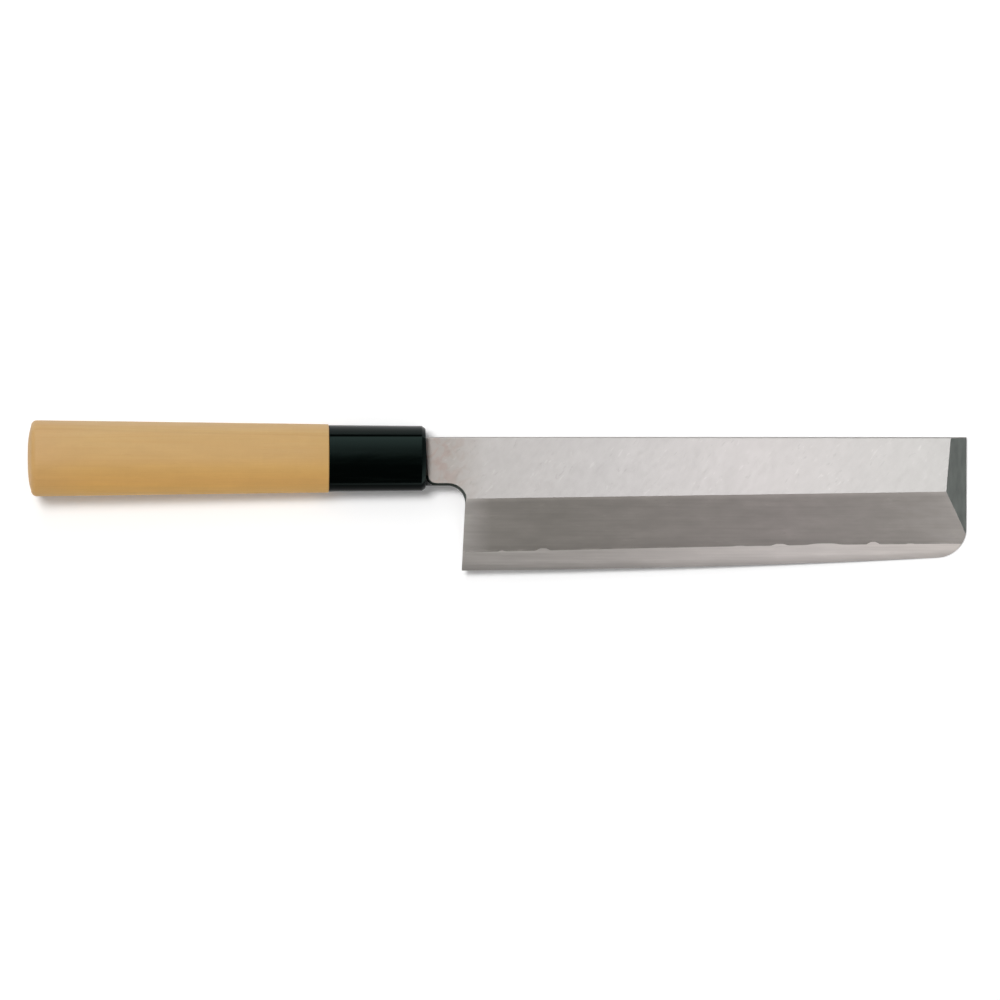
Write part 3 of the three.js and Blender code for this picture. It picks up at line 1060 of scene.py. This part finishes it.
    def outline(self) -> list[Plan]:
        """Draws the blade with its tang.

        Returns:
            The outline, anticlockwise from the end of the tang.
        """
        half = self.tang_end_height / 2
        start, end = self.heel - self.edge_centre, self.corner - self.edge_centre
        first, last = math.atan2(start.y, start.x), math.atan2(end.y, end.x)
        path = [(-self.tang_length, half), (-self.tang_length, -half), (0.0, self.notch.y)]
        path += [*self.neck_path(0.0)[1:], tuple(self.heel)]
        path += arc(self.edge_centre, self.edge_radius, steps(first, last, self.edge_steps)[1:])
        path += arc(self.corner, self.tip_corner_radius, steps(last, 0.0, self.round_steps)[1:])
        return [*path, (self.length, self.spine), (0.0, self.spine), (0.0, self.spine - self.spine_ease)]

    def neck_path(self, inset: float) -> list[Plan]:
        """Follows the neck's lower outline, drawn in by a share of its easing.

        Args:
            inset: the share, 0 on the outline and 1 where the easing begins.

        Returns:
            The path from the ferrule to the heel.
        """
        turn = steps(math.pi, 1.5 * math.pi, self.notch_steps)
        path = arc(self.notch, self.notch_radius - inset * self.neck_ease, turn)
        for angle in steps(math.pi / 2, -self.heel_lean, self.round_steps):
            path += arc(self.fillet, self.heel_fillet_radius + inset * self.heel_ease(angle), [angle])
        return path

    def weld_line(self, above: float) -> list[Plan]:
        """Follows the line where the bevel lies a given height above the weld.

        Args:
            above: the height.

        Returns:
            The line from before the heel to past the tip.
        """
        path: list[Plan] = []
        start, end = self.neck_length - self.weld_overrun, self.length + self.weld_overrun
        for x in steps(start, end, self.weld_steps):
            level = self.weld(x) + above
            highest = self.ridge(x) - self.weld_headroom
            path.append((x, solve(lambda y: self.front(x, y)[0] - level, self.edge(x), highest)))
        return path

    def tip_line(self) -> list[Plan]:
        """Follows the tip bevel's border down the face and on down the main bevel.

        Returns:
            The line from the spine to past the edge.
        """
        meeting = self.ridge(self.tip_border(self.ridge(self.length)))
        nearest, farthest = self.tip_border(meeting), self.length + self.tip_bevel_reach
        path = [(self.tip_border(self.spine), self.spine), (nearest, meeting)]
        for y in steps(meeting, self.corner.y - self.tip_bevel_overrun, self.round_steps)[1:]:
            path.append((solve(lambda x: self.tip(x, y) - self.bevel(x, y), nearest, farthest), y))
        return path

    def plan(self) -> Triangles:
        """Cuts the blade's plan into triangles along every line of its surfaces.

        Returns:
            The points and the triangles.
        """
        sketch = PlanSketch()
        sketch.add(self.outline(), closed=True)
        for angle in steps(0.0, math.pi / 2, self.ease_steps)[1:]:
            share = 1 - math.cos(angle)
            level = self.spine - share * self.spine_ease
            sketch.add([(0.0, level), (self.length, level)])
            sketch.add(self.neck_path(share)[1:])
        tip_line = self.tip_line()
        ridge = steps(self.fillet.x + self.ridge_lead, tip_line[1][0], self.round_steps)
        sketch.add([(x, self.ridge(x)) for x in ridge])
        sketch.add(tip_line)
        sketch.add(self.weld_line(self.weld_gap))
        sketch.add(self.weld_line(0.0))
        for x in (0.0, -self.spine_ease, self.steel_start, self.weld_start + self.weld_scarf):
            sketch.add([(x, self.spine), (x, -self.neck_drop)])
        shares = [(1 - math.cos(angle)) / 2 for angle in steps(0.0, math.pi, self.hollow_steps)]
        rim = [between(self.hollow_start, self.hollow_end, share) for share in shares]
        spans = [(x, *self.hollow_span(x)[:2]) for x in rim]
        sketch.add([(x, middle + half) for x, middle, half in spans])
        sketch.add([(x, middle - half) for x, middle, half in spans])
        rows = int((self.spine + self.heel_drop) / self.grid)
        columns = int(self.length / (2 * self.grid))
        for x in steps(self.neck_length, self.length, columns)[1:-1]:
            for y in steps(self.edge(x), self.spine, rows)[1:-1]:
                sketch.add([(x, y)])
        return sketch.triangles()

    def solid(
        self,
        plan: Triangles,
        inside: Callable[[float, float], bool],
        top: Callable[[float, float], Surface],
        bottom: Callable[[float, float], Surface],
    ) -> MeshDraft:
        """Raises part of the plan into a closed body.

        Args:
            plan: the plan's points and triangles.
            inside: tells whether a place belongs to the body.
            top: height and surface of its upper side.
            bottom: height and surface of its lower side.

        Returns:
            The body.
        """
        points, triangles = plan
        draft = MeshDraft()
        upper = [draft.point(p.x, p.y, top(p.x, p.y)[0]) for p in points]
        lower = [draft.point(p.x, p.y, bottom(p.x, p.y)[0]) for p in points]
        rim: dict[tuple[int, int], None] = {}
        for triangle in triangles:
            middle = sum((points[i] for i in triangle), Vector((0.0, 0.0))) / 3
            thickest = max(draft.points[upper[i]].z - draft.points[lower[i]].z for i in triangle)
            if thickest < self.least_thickness or not inside(middle.x, middle.y):
                continue
            draft.face([upper[i] for i in triangle], top(middle.x, middle.y)[1].value)
            draft.face([lower[i] for i in reversed(triangle)], bottom(middle.x, middle.y)[1].value)
            for side in zip(triangle, triangle[1:] + triangle[:1]):
                if side[::-1] in rim:
                    del rim[side[::-1]]
                else:
                    rim[side] = None
        for a, b in rim:
            zone = self.wall_zone((points[a] + points[b]) / 2)
            draft.face((upper[b], upper[a], lower[a], lower[b]), zone.value)
        return draft

    def iron_bottom(self, x: float, y: float) -> Surface:
        """Returns the underside of the iron: the weld, or the back where there is no edge steel."""
        back, welded = self.back(x, y), self.weld(x) + self.weld_gap
        return back if welded < back[0] or x < self.weld_start else (welded, Zone.SIDE)

    def steel_top(self, x: float, y: float) -> Surface:
        """Returns the upper side of the edge steel: the bevel, or the weld under the iron."""
        front, welded = self.front(x, y), max(self.weld(x), self.back(x, y)[0])
        return front if front[0] < welded + self.weld_lap else (welded, Zone.SIDE)

    def iron_there(self, x: float, y: float) -> bool:
        """Tells whether there is iron at a place."""
        return self.front(x, y)[0] > self.iron_bottom(x, y)[0] + self.least_thickness

    def steel_there(self, x: float, y: float) -> bool:
        """Tells whether there is edge steel at a place."""
        return x > self.steel_start

    def build(self, pose: KnifePose, iron: Sequence[Material], steel: Sequence[Material]) -> None:
        """Builds and dresses both pieces.

        Args:
            pose: the knife's pose.
            iron: finishes of the iron's zones, in their order.
            steel: finishes of the edge steel's zones, in their order.
        """
        plan = self.plan()
        body = self.solid(plan, self.iron_there, self.front, self.iron_bottom)
        stand_for(body.build("blade_iron", pose, iron, self.crease), "iron_body")
        band = self.solid(plan, self.steel_there, self.steel_top, self.back)
        stand_for(band.build("blade_edge_steel", pose, steel, self.crease), "edge_steel")


@dataclass
class Handle:
    """D-section handle: magnolia grip and horn ferrule, with the spigot, socket, slot and bore inside.

    The blade gives the handle's axis and the size of the slot and the bore. The numbers of steps say how
    many rings make each stretch, and curve_steps how many points make each of a ring's five curves.
    """

    blade: Blade
    grip_length: float = 99.8
    ferrule_length: float = 32.0
    mouth_half_height: float = 10.8
    joint_half_height: float = 11.35
    butt_half_height: float = 12.65
    grip_step: float = 0.28
    depth: float = 0.81
    crest_drop_mouth: float = 3.65
    crest_drop_joint: float = 3.92
    crest_drop_butt: float = 2.95
    crest_depth: float = 0.85
    crest_below: float = math.radians(19)
    crest_above: float = math.radians(38)
    face_centre: float = 0.07
    butt_radius: float = 2.0
    butt_dome: float = 1.1
    butt_fullness: float = 3.0
    butt_middle: float = 0.97
    grip_ease: float = 0.4
    mouth_chamfer_length: float = 1.2
    mouth_chamfer_inset: float = 0.9
    rim_ease: float = 0.12
    spigot_radius: float = 7.3
    spigot_length: float = 20.0
    bedding: float = 0.6
    bedding_end: float = 3.0
    slot_margin: float = 0.7
    clearance: float = 0.08
    curve_steps: int = 28
    dome_steps: int = 14
    butt_steps: int = 8
    grip_steps: int = 12
    ease_steps: int = 5
    ferrule_steps: int = 6
    crease: float = 14.0

    def __post_init__(self) -> None:
        """Works out the height of the handle's axis."""
        self.axis = self.blade.neck_thickness / 2

    def along(self, x: float, mouth: float, front: float, rear: float, butt: float) -> float:
        """Finds a value that changes along the handle.

        Args:
            x: place along the handle.
            mouth: the value at the ferrule's mouth.
            front: the ferrule's value at the joint.
            rear: the wood's value at the joint.
            butt: the value at the butt.

        Returns:
            The value there.
        """
        if x < -self.ferrule_length:
            return between(rear, butt, (-self.ferrule_length - x) / self.grip_length)
        return between(mouth, front, -x / self.ferrule_length)

    def half_height(self, x: float) -> float:
        """Returns half of the handle's height, with the wood slightly proud of the ferrule."""
        joint = self.joint_half_height
        return self.along(x, self.mouth_half_height, joint - self.grip_step, joint, self.butt_half_height)

    def crest_drop(self, x: float) -> float:
        """Returns how far the ridge lies below the handle's top."""
        joint = self.crest_drop_joint
        return self.along(x, self.crest_drop_mouth, joint, joint, self.crest_drop_butt)

    def ring(self, x: float, inset: float = 0.0) -> list[Vector]:
        """Draws the D-section: an oval with one ridge near its top.

        Args:
            x: place along the handle.
            inset: how far the section is drawn in.

        Returns:
            The section's points.
        """
        full = self.half_height(x)
        high = full - inset
        deep = high * self.depth
        crest = Vector((high - self.crest_drop(x) * high / full, deep * self.crest_depth))
        centre = -high * self.face_centre
        kappa = 4 / 3 * (math.sqrt(2) - 1)
        shoulder = (crest - Vector((high, 0.0))).length / 3
        brow = (crest.x - centre) / 3
        above = Vector((math.cos(self.crest_above), -math.sin(self.crest_above)))
        below = Vector((-math.cos(self.crest_below), math.sin(self.crest_below)))
        top, face, bottom, rear = (high, 0.0), (centre, deep), (-high, 0.0), (0.0, -deep)
        curves = (
            (top, (high, shoulder), crest + above * shoulder, crest),
            (crest, crest + below * brow, (centre + brow, deep), face),
            (face, (centre - kappa * (high + centre), deep), (-high, kappa * deep), bottom),
            (bottom, (-high, -kappa * deep), (-kappa * high, -deep), rear),
            (rear, (kappa * high, -deep), (high, -kappa * deep), top),
        )
        points = []
        for corners in curves:
            for t in steps(0.0, 1.0, self.curve_steps)[:-1]:
                weights = ((1 - t) ** 3, 3 * t * (1 - t) ** 2, 3 * t * t * (1 - t), t**3)
                place = sum((Vector(p) * w for p, w in zip(corners, weights)), Vector((0.0, 0.0)))
                points.append(Vector((x, place.x, place.y + self.axis)))
        return points

    def spokes(self, like: Sequence[Vector]) -> list[Vector]:
        """Returns the directions of a ring's points from the handle's axis."""
        return [Vector((0.0, p.y, p.z - self.axis)).normalized() for p in like]

    def round_ring(self, like: Sequence[Vector], x: float, radius: float) -> list[Vector]:
        """Returns a circle at x whose points lie at the angles of another ring's."""
        return [Vector((x, s.y * radius, s.z * radius + self.axis)) for s in self.spokes(like)]

    def square_ring(
        self, like: Sequence[Vector], x: float, low: float, high: float, half: float
    ) -> list[Vector]:
        """Draws a rectangle whose points lie at the angles of another ring's.

        Args:
            like: the other ring.
            x: place along the handle.
            low: the rectangle's lower side.
            high: its upper side.
            half: half of its thickness.

        Returns:
            The rectangle's points.
        """
        tiny = 1e-6
        points = []
        for spoke in self.spokes(like):
            across = (high if spoke.y > 0 else low) / spoke.y if abs(spoke.y) > tiny else math.inf
            through = half / abs(spoke.z) if abs(spoke.z) > tiny else math.inf
            reach = min(across, through)
            points.append(Vector((x, spoke.y * reach, spoke.z * reach + self.axis)))
        return points

    def build_grip(self, pose: KnifePose, wood: Sequence[Material]) -> None:
        """Builds the grip from its domed butt to the bottom of the tang's bore.

        Args:
            pose: the knife's pose.
            wood: finishes of the side and of the end.
        """
        blade = self.blade
        butt = -self.grip_length - self.ferrule_length
        flat = self.half_height(butt) - self.butt_radius
        rings = []
        for share in steps(0.0, 1.0, self.dome_steps)[:-1]:
            x = butt + self.butt_dome * share**self.butt_fullness
            rings.append(self.ring(x, self.butt_radius + flat * min(1 - share, self.butt_middle)))
        for angle in steps(math.pi / 2, 0.0, self.butt_steps):
            x = butt + self.butt_dome + self.butt_radius * (1 - math.sin(angle))
            rings.append(self.ring(x, self.butt_radius * (1 - math.cos(angle))))
        ends = len(rings) - 2
        joint = -self.ferrule_length - self.clearance
        rings += map(self.ring, steps(rings[-1][0].x, joint - self.grip_ease, self.grip_steps)[1:])
        for angle in steps(0.0, math.pi / 2, self.ease_steps)[1:]:
            inset = self.grip_ease * (1 - math.cos(angle))
            rings.append(self.ring(joint - self.grip_ease * (1 - math.sin(angle)), inset))
        spigot_end = -self.ferrule_length + self.spigot_length
        for x in (joint, spigot_end):
            rings.append(self.round_ring(rings[-1], x, self.spigot_radius))
        grow = self.bedding + self.clearance
        for x in (spigot_end, -blade.tang_length - self.bedding_end):
            share = min(1.0, -x / blade.tang_length)
            high = between(blade.spine - blade.spine_ease, blade.tang_end_height / 2, share) + grow
            low = between(blade.notch.y, -blade.tang_end_height / 2, share) - grow
            half = blade.tang_half(-share * blade.tang_length) + grow
            rings.append(self.square_ring(rings[0], x, low, high, half))
        draft = MeshDraft()
        draft.loft(rings, [1] * ends + [0] * (len(rings) - ends))
        stand_for(draft.build("handle_grip", pose, wood, self.crease), "grip")

    def build_ferrule(self, pose: KnifePose, horn: Material) -> None:
        """Builds the ferrule: its outside, its mouth, the slot and the socket.

        Args:
            pose: the knife's pose.
            horn: the finish.
        """
        blade, ease = self.blade, self.rim_ease
        rear, chamfer, inset = -self.ferrule_length, self.mouth_chamfer_length, self.mouth_chamfer_inset
        rings = [self.ring(rear, ease)]
        rings += map(self.ring, steps(rear + ease, -chamfer - ease, self.ferrule_steps))
        rings.append(self.ring(-chamfer + ease, ease))
        rings += [self.ring(-ease, inset - ease), self.ring(0.0, inset + ease)]
        low = self.slot_margin - blade.neck_drop
        high = blade.spine + self.slot_margin
        half = blade.neck_thickness / 2 + self.slot_margin
        socket_end = rear + self.spigot_length + self.clearance
        for x in (0.0, socket_end):
            rings.append(self.square_ring(rings[0], x, low, high, half))
        for x in (socket_end, rear):
            rings.append(self.round_ring(rings[0], x, self.spigot_radius + self.clearance))
        draft = MeshDraft()
        draft.loft(rings, [0] * len(rings), closed=True)
        stand_for(draft.build("handle_ferrule", pose, [horn], self.crease), "ferrule")


@dataclass
class Joints:
    """Pieces kept from the frame inside the handle: the tang's bedding and the seal in the mouth."""

    nodes: dict[str, bpy.types.Object]

    def dress(self, finishes: dict[str, Material]) -> None:
        """Gives the kept nodes their finishes.

        Args:
            finishes: a material for each node.
        """
        for name, material in finishes.items():
            materials = self.nodes[name].data.materials
            materials.clear()
            materials.append(material)
            LOG.info("%s keeps its shape, in %s", name, material.name)


@dataclass(frozen=True)
class SoftBox:
    """Soft box with its middle, the point that it faces and its size in metres."""

    name: str
    place: Size
    aim: Size
    size: Span
    radiance: float

    def hang(self) -> None:
        """Puts the lamp in the scene."""
        data = bpy.data.lights.new(self.name, "AREA")
        data.shape = "RECTANGLE"
        data.size, data.size_y = self.size
        data.energy = self.radiance * math.pi * self.size[0] * self.size[1]
        lamp = link(self.name, data)
        lamp.location = self.place
        lamp.rotation_euler = (Vector(self.place) - Vector(self.aim)).to_track_quat("Z", "Y").to_euler()


@dataclass
class Studio:
    """White table, soft light and a camera straight above, as in the photograph. Lengths are metres.

    The world is given by direction, -1 to 1 on each axis: a dim ceiling over a white horizon, a bright
    screen beyond the spine, and pale walls towards the butt and the tip. A span is where a part of it begins
    or ends. The walls dim to wall_far over wall_depth, and to wall_top over wall_head. The table adds
    floor_lift to its light where the camera or a mirror sees it.
    """

    picture_width: float = 0.33187
    aim: Plan = (0.0007, -0.0015)
    distance: float = 3.0
    blade_height: float = 0.008
    sensor: float = 36.0
    view_end: float = 100.0
    floor_half: float = 12.0
    floor_lift: float = 0.06
    floor_white: Colour = (0.99, 0.99, 0.99, 1.0)
    ceiling: float = 0.02
    horizon: Span = (0.015, 0.05)
    screen: float = 1.75
    screen_foot: Span = (0.1, 0.68)
    screen_head: Span = (0.8, 0.97)
    screen_side: Span = (0.15, 0.4)
    walls: float = 0.95
    wall_side: Span = (0.25, 0.6)
    wall_depth: Span = (-0.2, 0.4)
    wall_head: Span = (0.3, 0.6)
    wall_far: float = 0.4
    wall_top: float = 0.3
    lamps: tuple[SoftBox, ...] = (
        SoftBox("key", (-0.88, 0.9, 4.0), (0.0, 0.0, 0.0), (1.15, 1.15), 29.0),
        SoftBox("tip_box", (0.28, -0.09, 0.8), (0.1, -0.01, 0.0), (0.26, 0.34), 1.55),
    )

    def camera(self) -> None:
        """Sets up the camera, with a long lens."""
        data = bpy.data.cameras.new("camera")
        data.sensor_width = self.sensor
        data.lens = self.sensor * self.distance / self.picture_width
        data.clip_end = self.view_end
        camera = link("camera", data)
        camera.location = (*self.aim, self.blade_height + self.distance)
        bpy.context.scene.camera = camera

    def floor(self) -> None:
        """Lays the white table, which keeps the knife's shadow."""
        work = bmesh.new()
        bmesh.ops.create_grid(work, x_segments=1, y_segments=1, size=self.floor_half)
        mesh = bpy.data.meshes.new("table")
        work.to_mesh(mesh)
        work.free()
        material = bpy.data.materials.new("table_white")
        pad = NodePad(material, "BSDF_PRINCIPLED")
        path = pad.node("LightPath").outputs
        mirrored = pad.maths("MAXIMUM", path["Is Glossy Ray"], path["Is Transmission Ray"])
        seen = pad.maths("MAXIMUM", path["Is Camera Ray"], mirrored)
        lift = pad.maths("MULTIPLY", seen, self.floor_lift)
        pad.set(base_color=self.floor_white, roughness=0.9, specular_ior_level=0.0)
        pad.set(emission_color=WHITE, emission_strength=lift)
        mesh.materials.append(material)
        link("table", mesh)

    def world(self) -> None:
        """Surrounds the scene with the screen, the walls, the ceiling and the horizon."""
        world = bpy.data.worlds.new("studio")
        pad = NodePad(world, "BACKGROUND")
        x, y, z = pad.split(pad.node("TexCoord").outputs["Generated"])
        side = pad.maths("ABSOLUTE", x)
        lower = pad.spread(y, self.screen_foot, 0.0, self.screen)
        upper = pad.spread(y, self.screen_head, 0.0, self.screen)
        middle = pad.spread(side, self.screen_side, 1.0, 0.0)
        beyond = pad.maths("MULTIPLY", pad.maths("SUBTRACT", lower, upper), middle)
        ends = pad.spread(side, self.wall_side, 0.0, self.walls)
        near = pad.maths("MULTIPLY", ends, pad.spread(y, self.wall_depth, 1.0, self.wall_far))
        beside = pad.maths("MULTIPLY", near, pad.spread(z, self.wall_head, 1.0, self.wall_top))
        overhead = pad.spread(z, self.horizon, 1.0, self.ceiling)
        pad.set(color=WHITE, strength=pad.maths("ADD", beyond, pad.maths("ADD", beside, overhead)))
        bpy.context.scene.world = world

    def build(self) -> None:
        """Sets up the whole studio."""
        bpy.context.scene.view_settings.view_transform = "Standard"
        self.camera()
        self.floor()
        self.world()
        for lamp in self.lamps:
            lamp.hang()


def iron_finishes(pose: KnifePose, blade: Blade) -> list[Material]:
    """Makes the iron's finishes.

    Args:
        pose: the knife's pose.
        blade: the blade, for its ridge.

    Returns:
        The materials, in the order of the blade's zones.
    """
    # Painted shade and light along the face: its tones are darker near the ferrule, where the ferrule shades
    # it, and lighter towards the tip, where the face reflects more light.
    face = StainedFace(
        "iron_face",
        tones(
            (0.0, 152, 145, 140), (2.5, 146, 141, 137), (9.0, 150, 146, 142), (20.0, 164, 161, 159),
            (60.0, 174, 171, 170), (110.0, 187, 183, 182), (170.0, 188, 186, 184),
        ),
        line_pitch=(2.6, 1.2, 1.2), line_turn=50.0, line_swing=0.03, roughness=0.55, relief=0.001,
        cloud_pitch=(9.0, 6.0, 6.0), cloud_swing=0.1, mark_pitch=(3.0, 1.0, 1.0), mark=0.09,
    )
    bevel = HazedBevel(
        "iron_bevel",
        tones(
            (12.0, 162, 158, 153), (16.0, 150, 146, 142), (22.0, 132, 128, 123),
            (40.0, 128, 124, 119), (120.0, 141, 135, 132), (158.0, 145, 140, 136),
            (176.0, 160, 155, 151),
        ),
        line_pitch=(30.0, 0.7, 0.7), line_swing=0.3, roughness=0.55, relief=0.006,
        cloud_pitch=(9.0, 3.5, 3.5), cloud_swing=0.3, mark=0.07,
        ridge_start=blade.ridge(0.0), ridge_climb=blade.ridge(1.0) - blade.ridge(0.0),
    )
    cool = tones((160.0, 156, 161, 157), (180.0, 150, 155, 151))
    dull = tones((0.0, 160, 157, 154), (180.0, 170, 168, 166))
    # Painted shade: the neck's underside and its eased edge are painted very dark, for the shade under the
    # neck.
    neck_shade_tones = tones((0.0, 60, 66, 62), (20.0, 84, 88, 84))
    tip = GroundSteel("iron_tip", cool, (1.2, 5.0, 1.2), line_swing=0.5, cloud_swing=0.2, roughness=0.34)
    eased = GroundSteel("iron_eased", dull, (9.0, 0.3, 0.3), roughness=0.36, relief=0.003)
    side = GroundSteel(
        "iron_side", dull, (12.0, 0.4, 0.4),
        line_swing=0.14, cloud_swing=0.08, roughness=0.42,
    )
    neck = GroundSteel(
        "iron_neck", neck_shade_tones, (6.0, 0.4, 0.4),
        line_swing=0.2, cloud_swing=0.1, roughness=0.5, relief=0.006,
    )
    made = {finish: finish.make(pose) for finish in (face, bevel, tip, eased, side, neck)}
    return [made[finish] for finish in (face, bevel, tip, eased, side, side, side, neck)]


def steel_finishes(pose: KnifePose, blade: Blade) -> list[Material]:
    """Makes the edge steel's finishes.

    Args:
        pose: the knife's pose.
        blade: the blade, for its edge.

    Returns:
        The materials, in the order of the blade's zones.
    """
    spoke = blade.heel - blade.edge_centre
    band = EdgeBand(
        "steel_band",
        tones(
            (12.0, 194, 189, 184), (58.0, 193, 187, 183), (124.0, 208, 201, 198),
            (180.0, 205, 198, 193),
        ),
        line_pitch=(24.0, 0.6, 0.6), line_swing=0.24, roughness=0.34, relief=0.003,
        cloud_pitch=(11.0, 2.4, 2.4), cloud_swing=0.2, mark=0.04,
        heel=blade.heel.x, edge_low=blade.heel.y,
        edge_slope=-spoke.x / spoke.y, edge_climb=1 / (2 * blade.edge_radius),
    )
    bright = tones((0.0, 190, 186, 184), (180.0, 200, 196, 194))
    tip = GroundSteel("steel_tip", bright, (0.5, 4.0, 0.5), line_swing=0.12, roughness=0.34)
    side = GroundSteel("steel_side", bright, (12.0, 0.3, 0.3), roughness=0.38, relief=0.003)
    land = GroundSteel(
        "steel_land", bright, (14.0, 0.2, 0.2),
        line_swing=0.08, cloud_swing=0.05, roughness=0.26, relief=0.002,
    )
    hollow = GroundSteel(
        "steel_hollow", bright, (0.3, 18.0, 0.3),
        line_swing=0.14, cloud_swing=0.08, roughness=0.36, relief=0.005,
    )
    made = {finish: finish.make(pose) for finish in (band, tip, side, land, hollow)}
    return [made[finish] for finish in (side, band, tip, side, side, land, hollow, side)]


def wood_finishes(pose: KnifePose, handle: Handle) -> list[Material]:
    """Makes the grip's finishes.

    Args:
        pose: the knife's pose.
        handle: the handle, for its ridge.

    Returns:
        The materials of its side and of its butt end, where the grain is cut across.
    """
    # Painted light and shade across the grip: the bottom is lighter and warmer to undo the shade of the lower
    # flank, and the top is lighter where the light falls from above.
    painted_light_tones = tones(
        (-12.0, 220, 170, 83), (-7.8, 205, 158, 91), (-3.9, 199, 157, 92), (1.1, 189, 151, 92),
        (6.1, 190, 154, 97), (9.4, 195, 162, 111), (12.0, 195, 162, 114),
    )
    joint = handle.joint_half_height - handle.crest_drop_joint
    butt = handle.butt_half_height - handle.crest_drop_butt
    climb = (joint - butt) / handle.grip_length
    crest = {"crest_start": joint + climb * handle.ferrule_length, "crest_climb": climb}
    end = Magnolia("wood_end", painted_light_tones, grain_length=1.0, pore_strength=0.45, **crest)
    return [Magnolia("wood_side", painted_light_tones, **crest).make(pose), end.make(pose)]


def main() -> None:
    """Builds the knife and its studio."""
    logging.basicConfig(level=logging.INFO, format="%(name)s: %(message)s")
    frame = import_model()
    pose = KnifePose.from_record(frame["record"])
    blade = Blade()
    blade.build(pose, iron_finishes(pose, blade), steel_finishes(pose, blade))
    handle = Handle(blade)
    handle.build_grip(pose, wood_finishes(pose, handle))
    handle.build_ferrule(pose, PolishedHorn("horn").make(pose))
    Joints(frame["nodes"]).dress({
        "tang_bedding": Compound("bedding_resin", linear(62, 40, 24)).make(pose),
        "mouth_seal": Compound("seal_black", (0.003, 0.004, 0.0035, 1.0), 0.42).make(pose),
    })
    Studio().build()


if __name__ == "__main__":
    main()
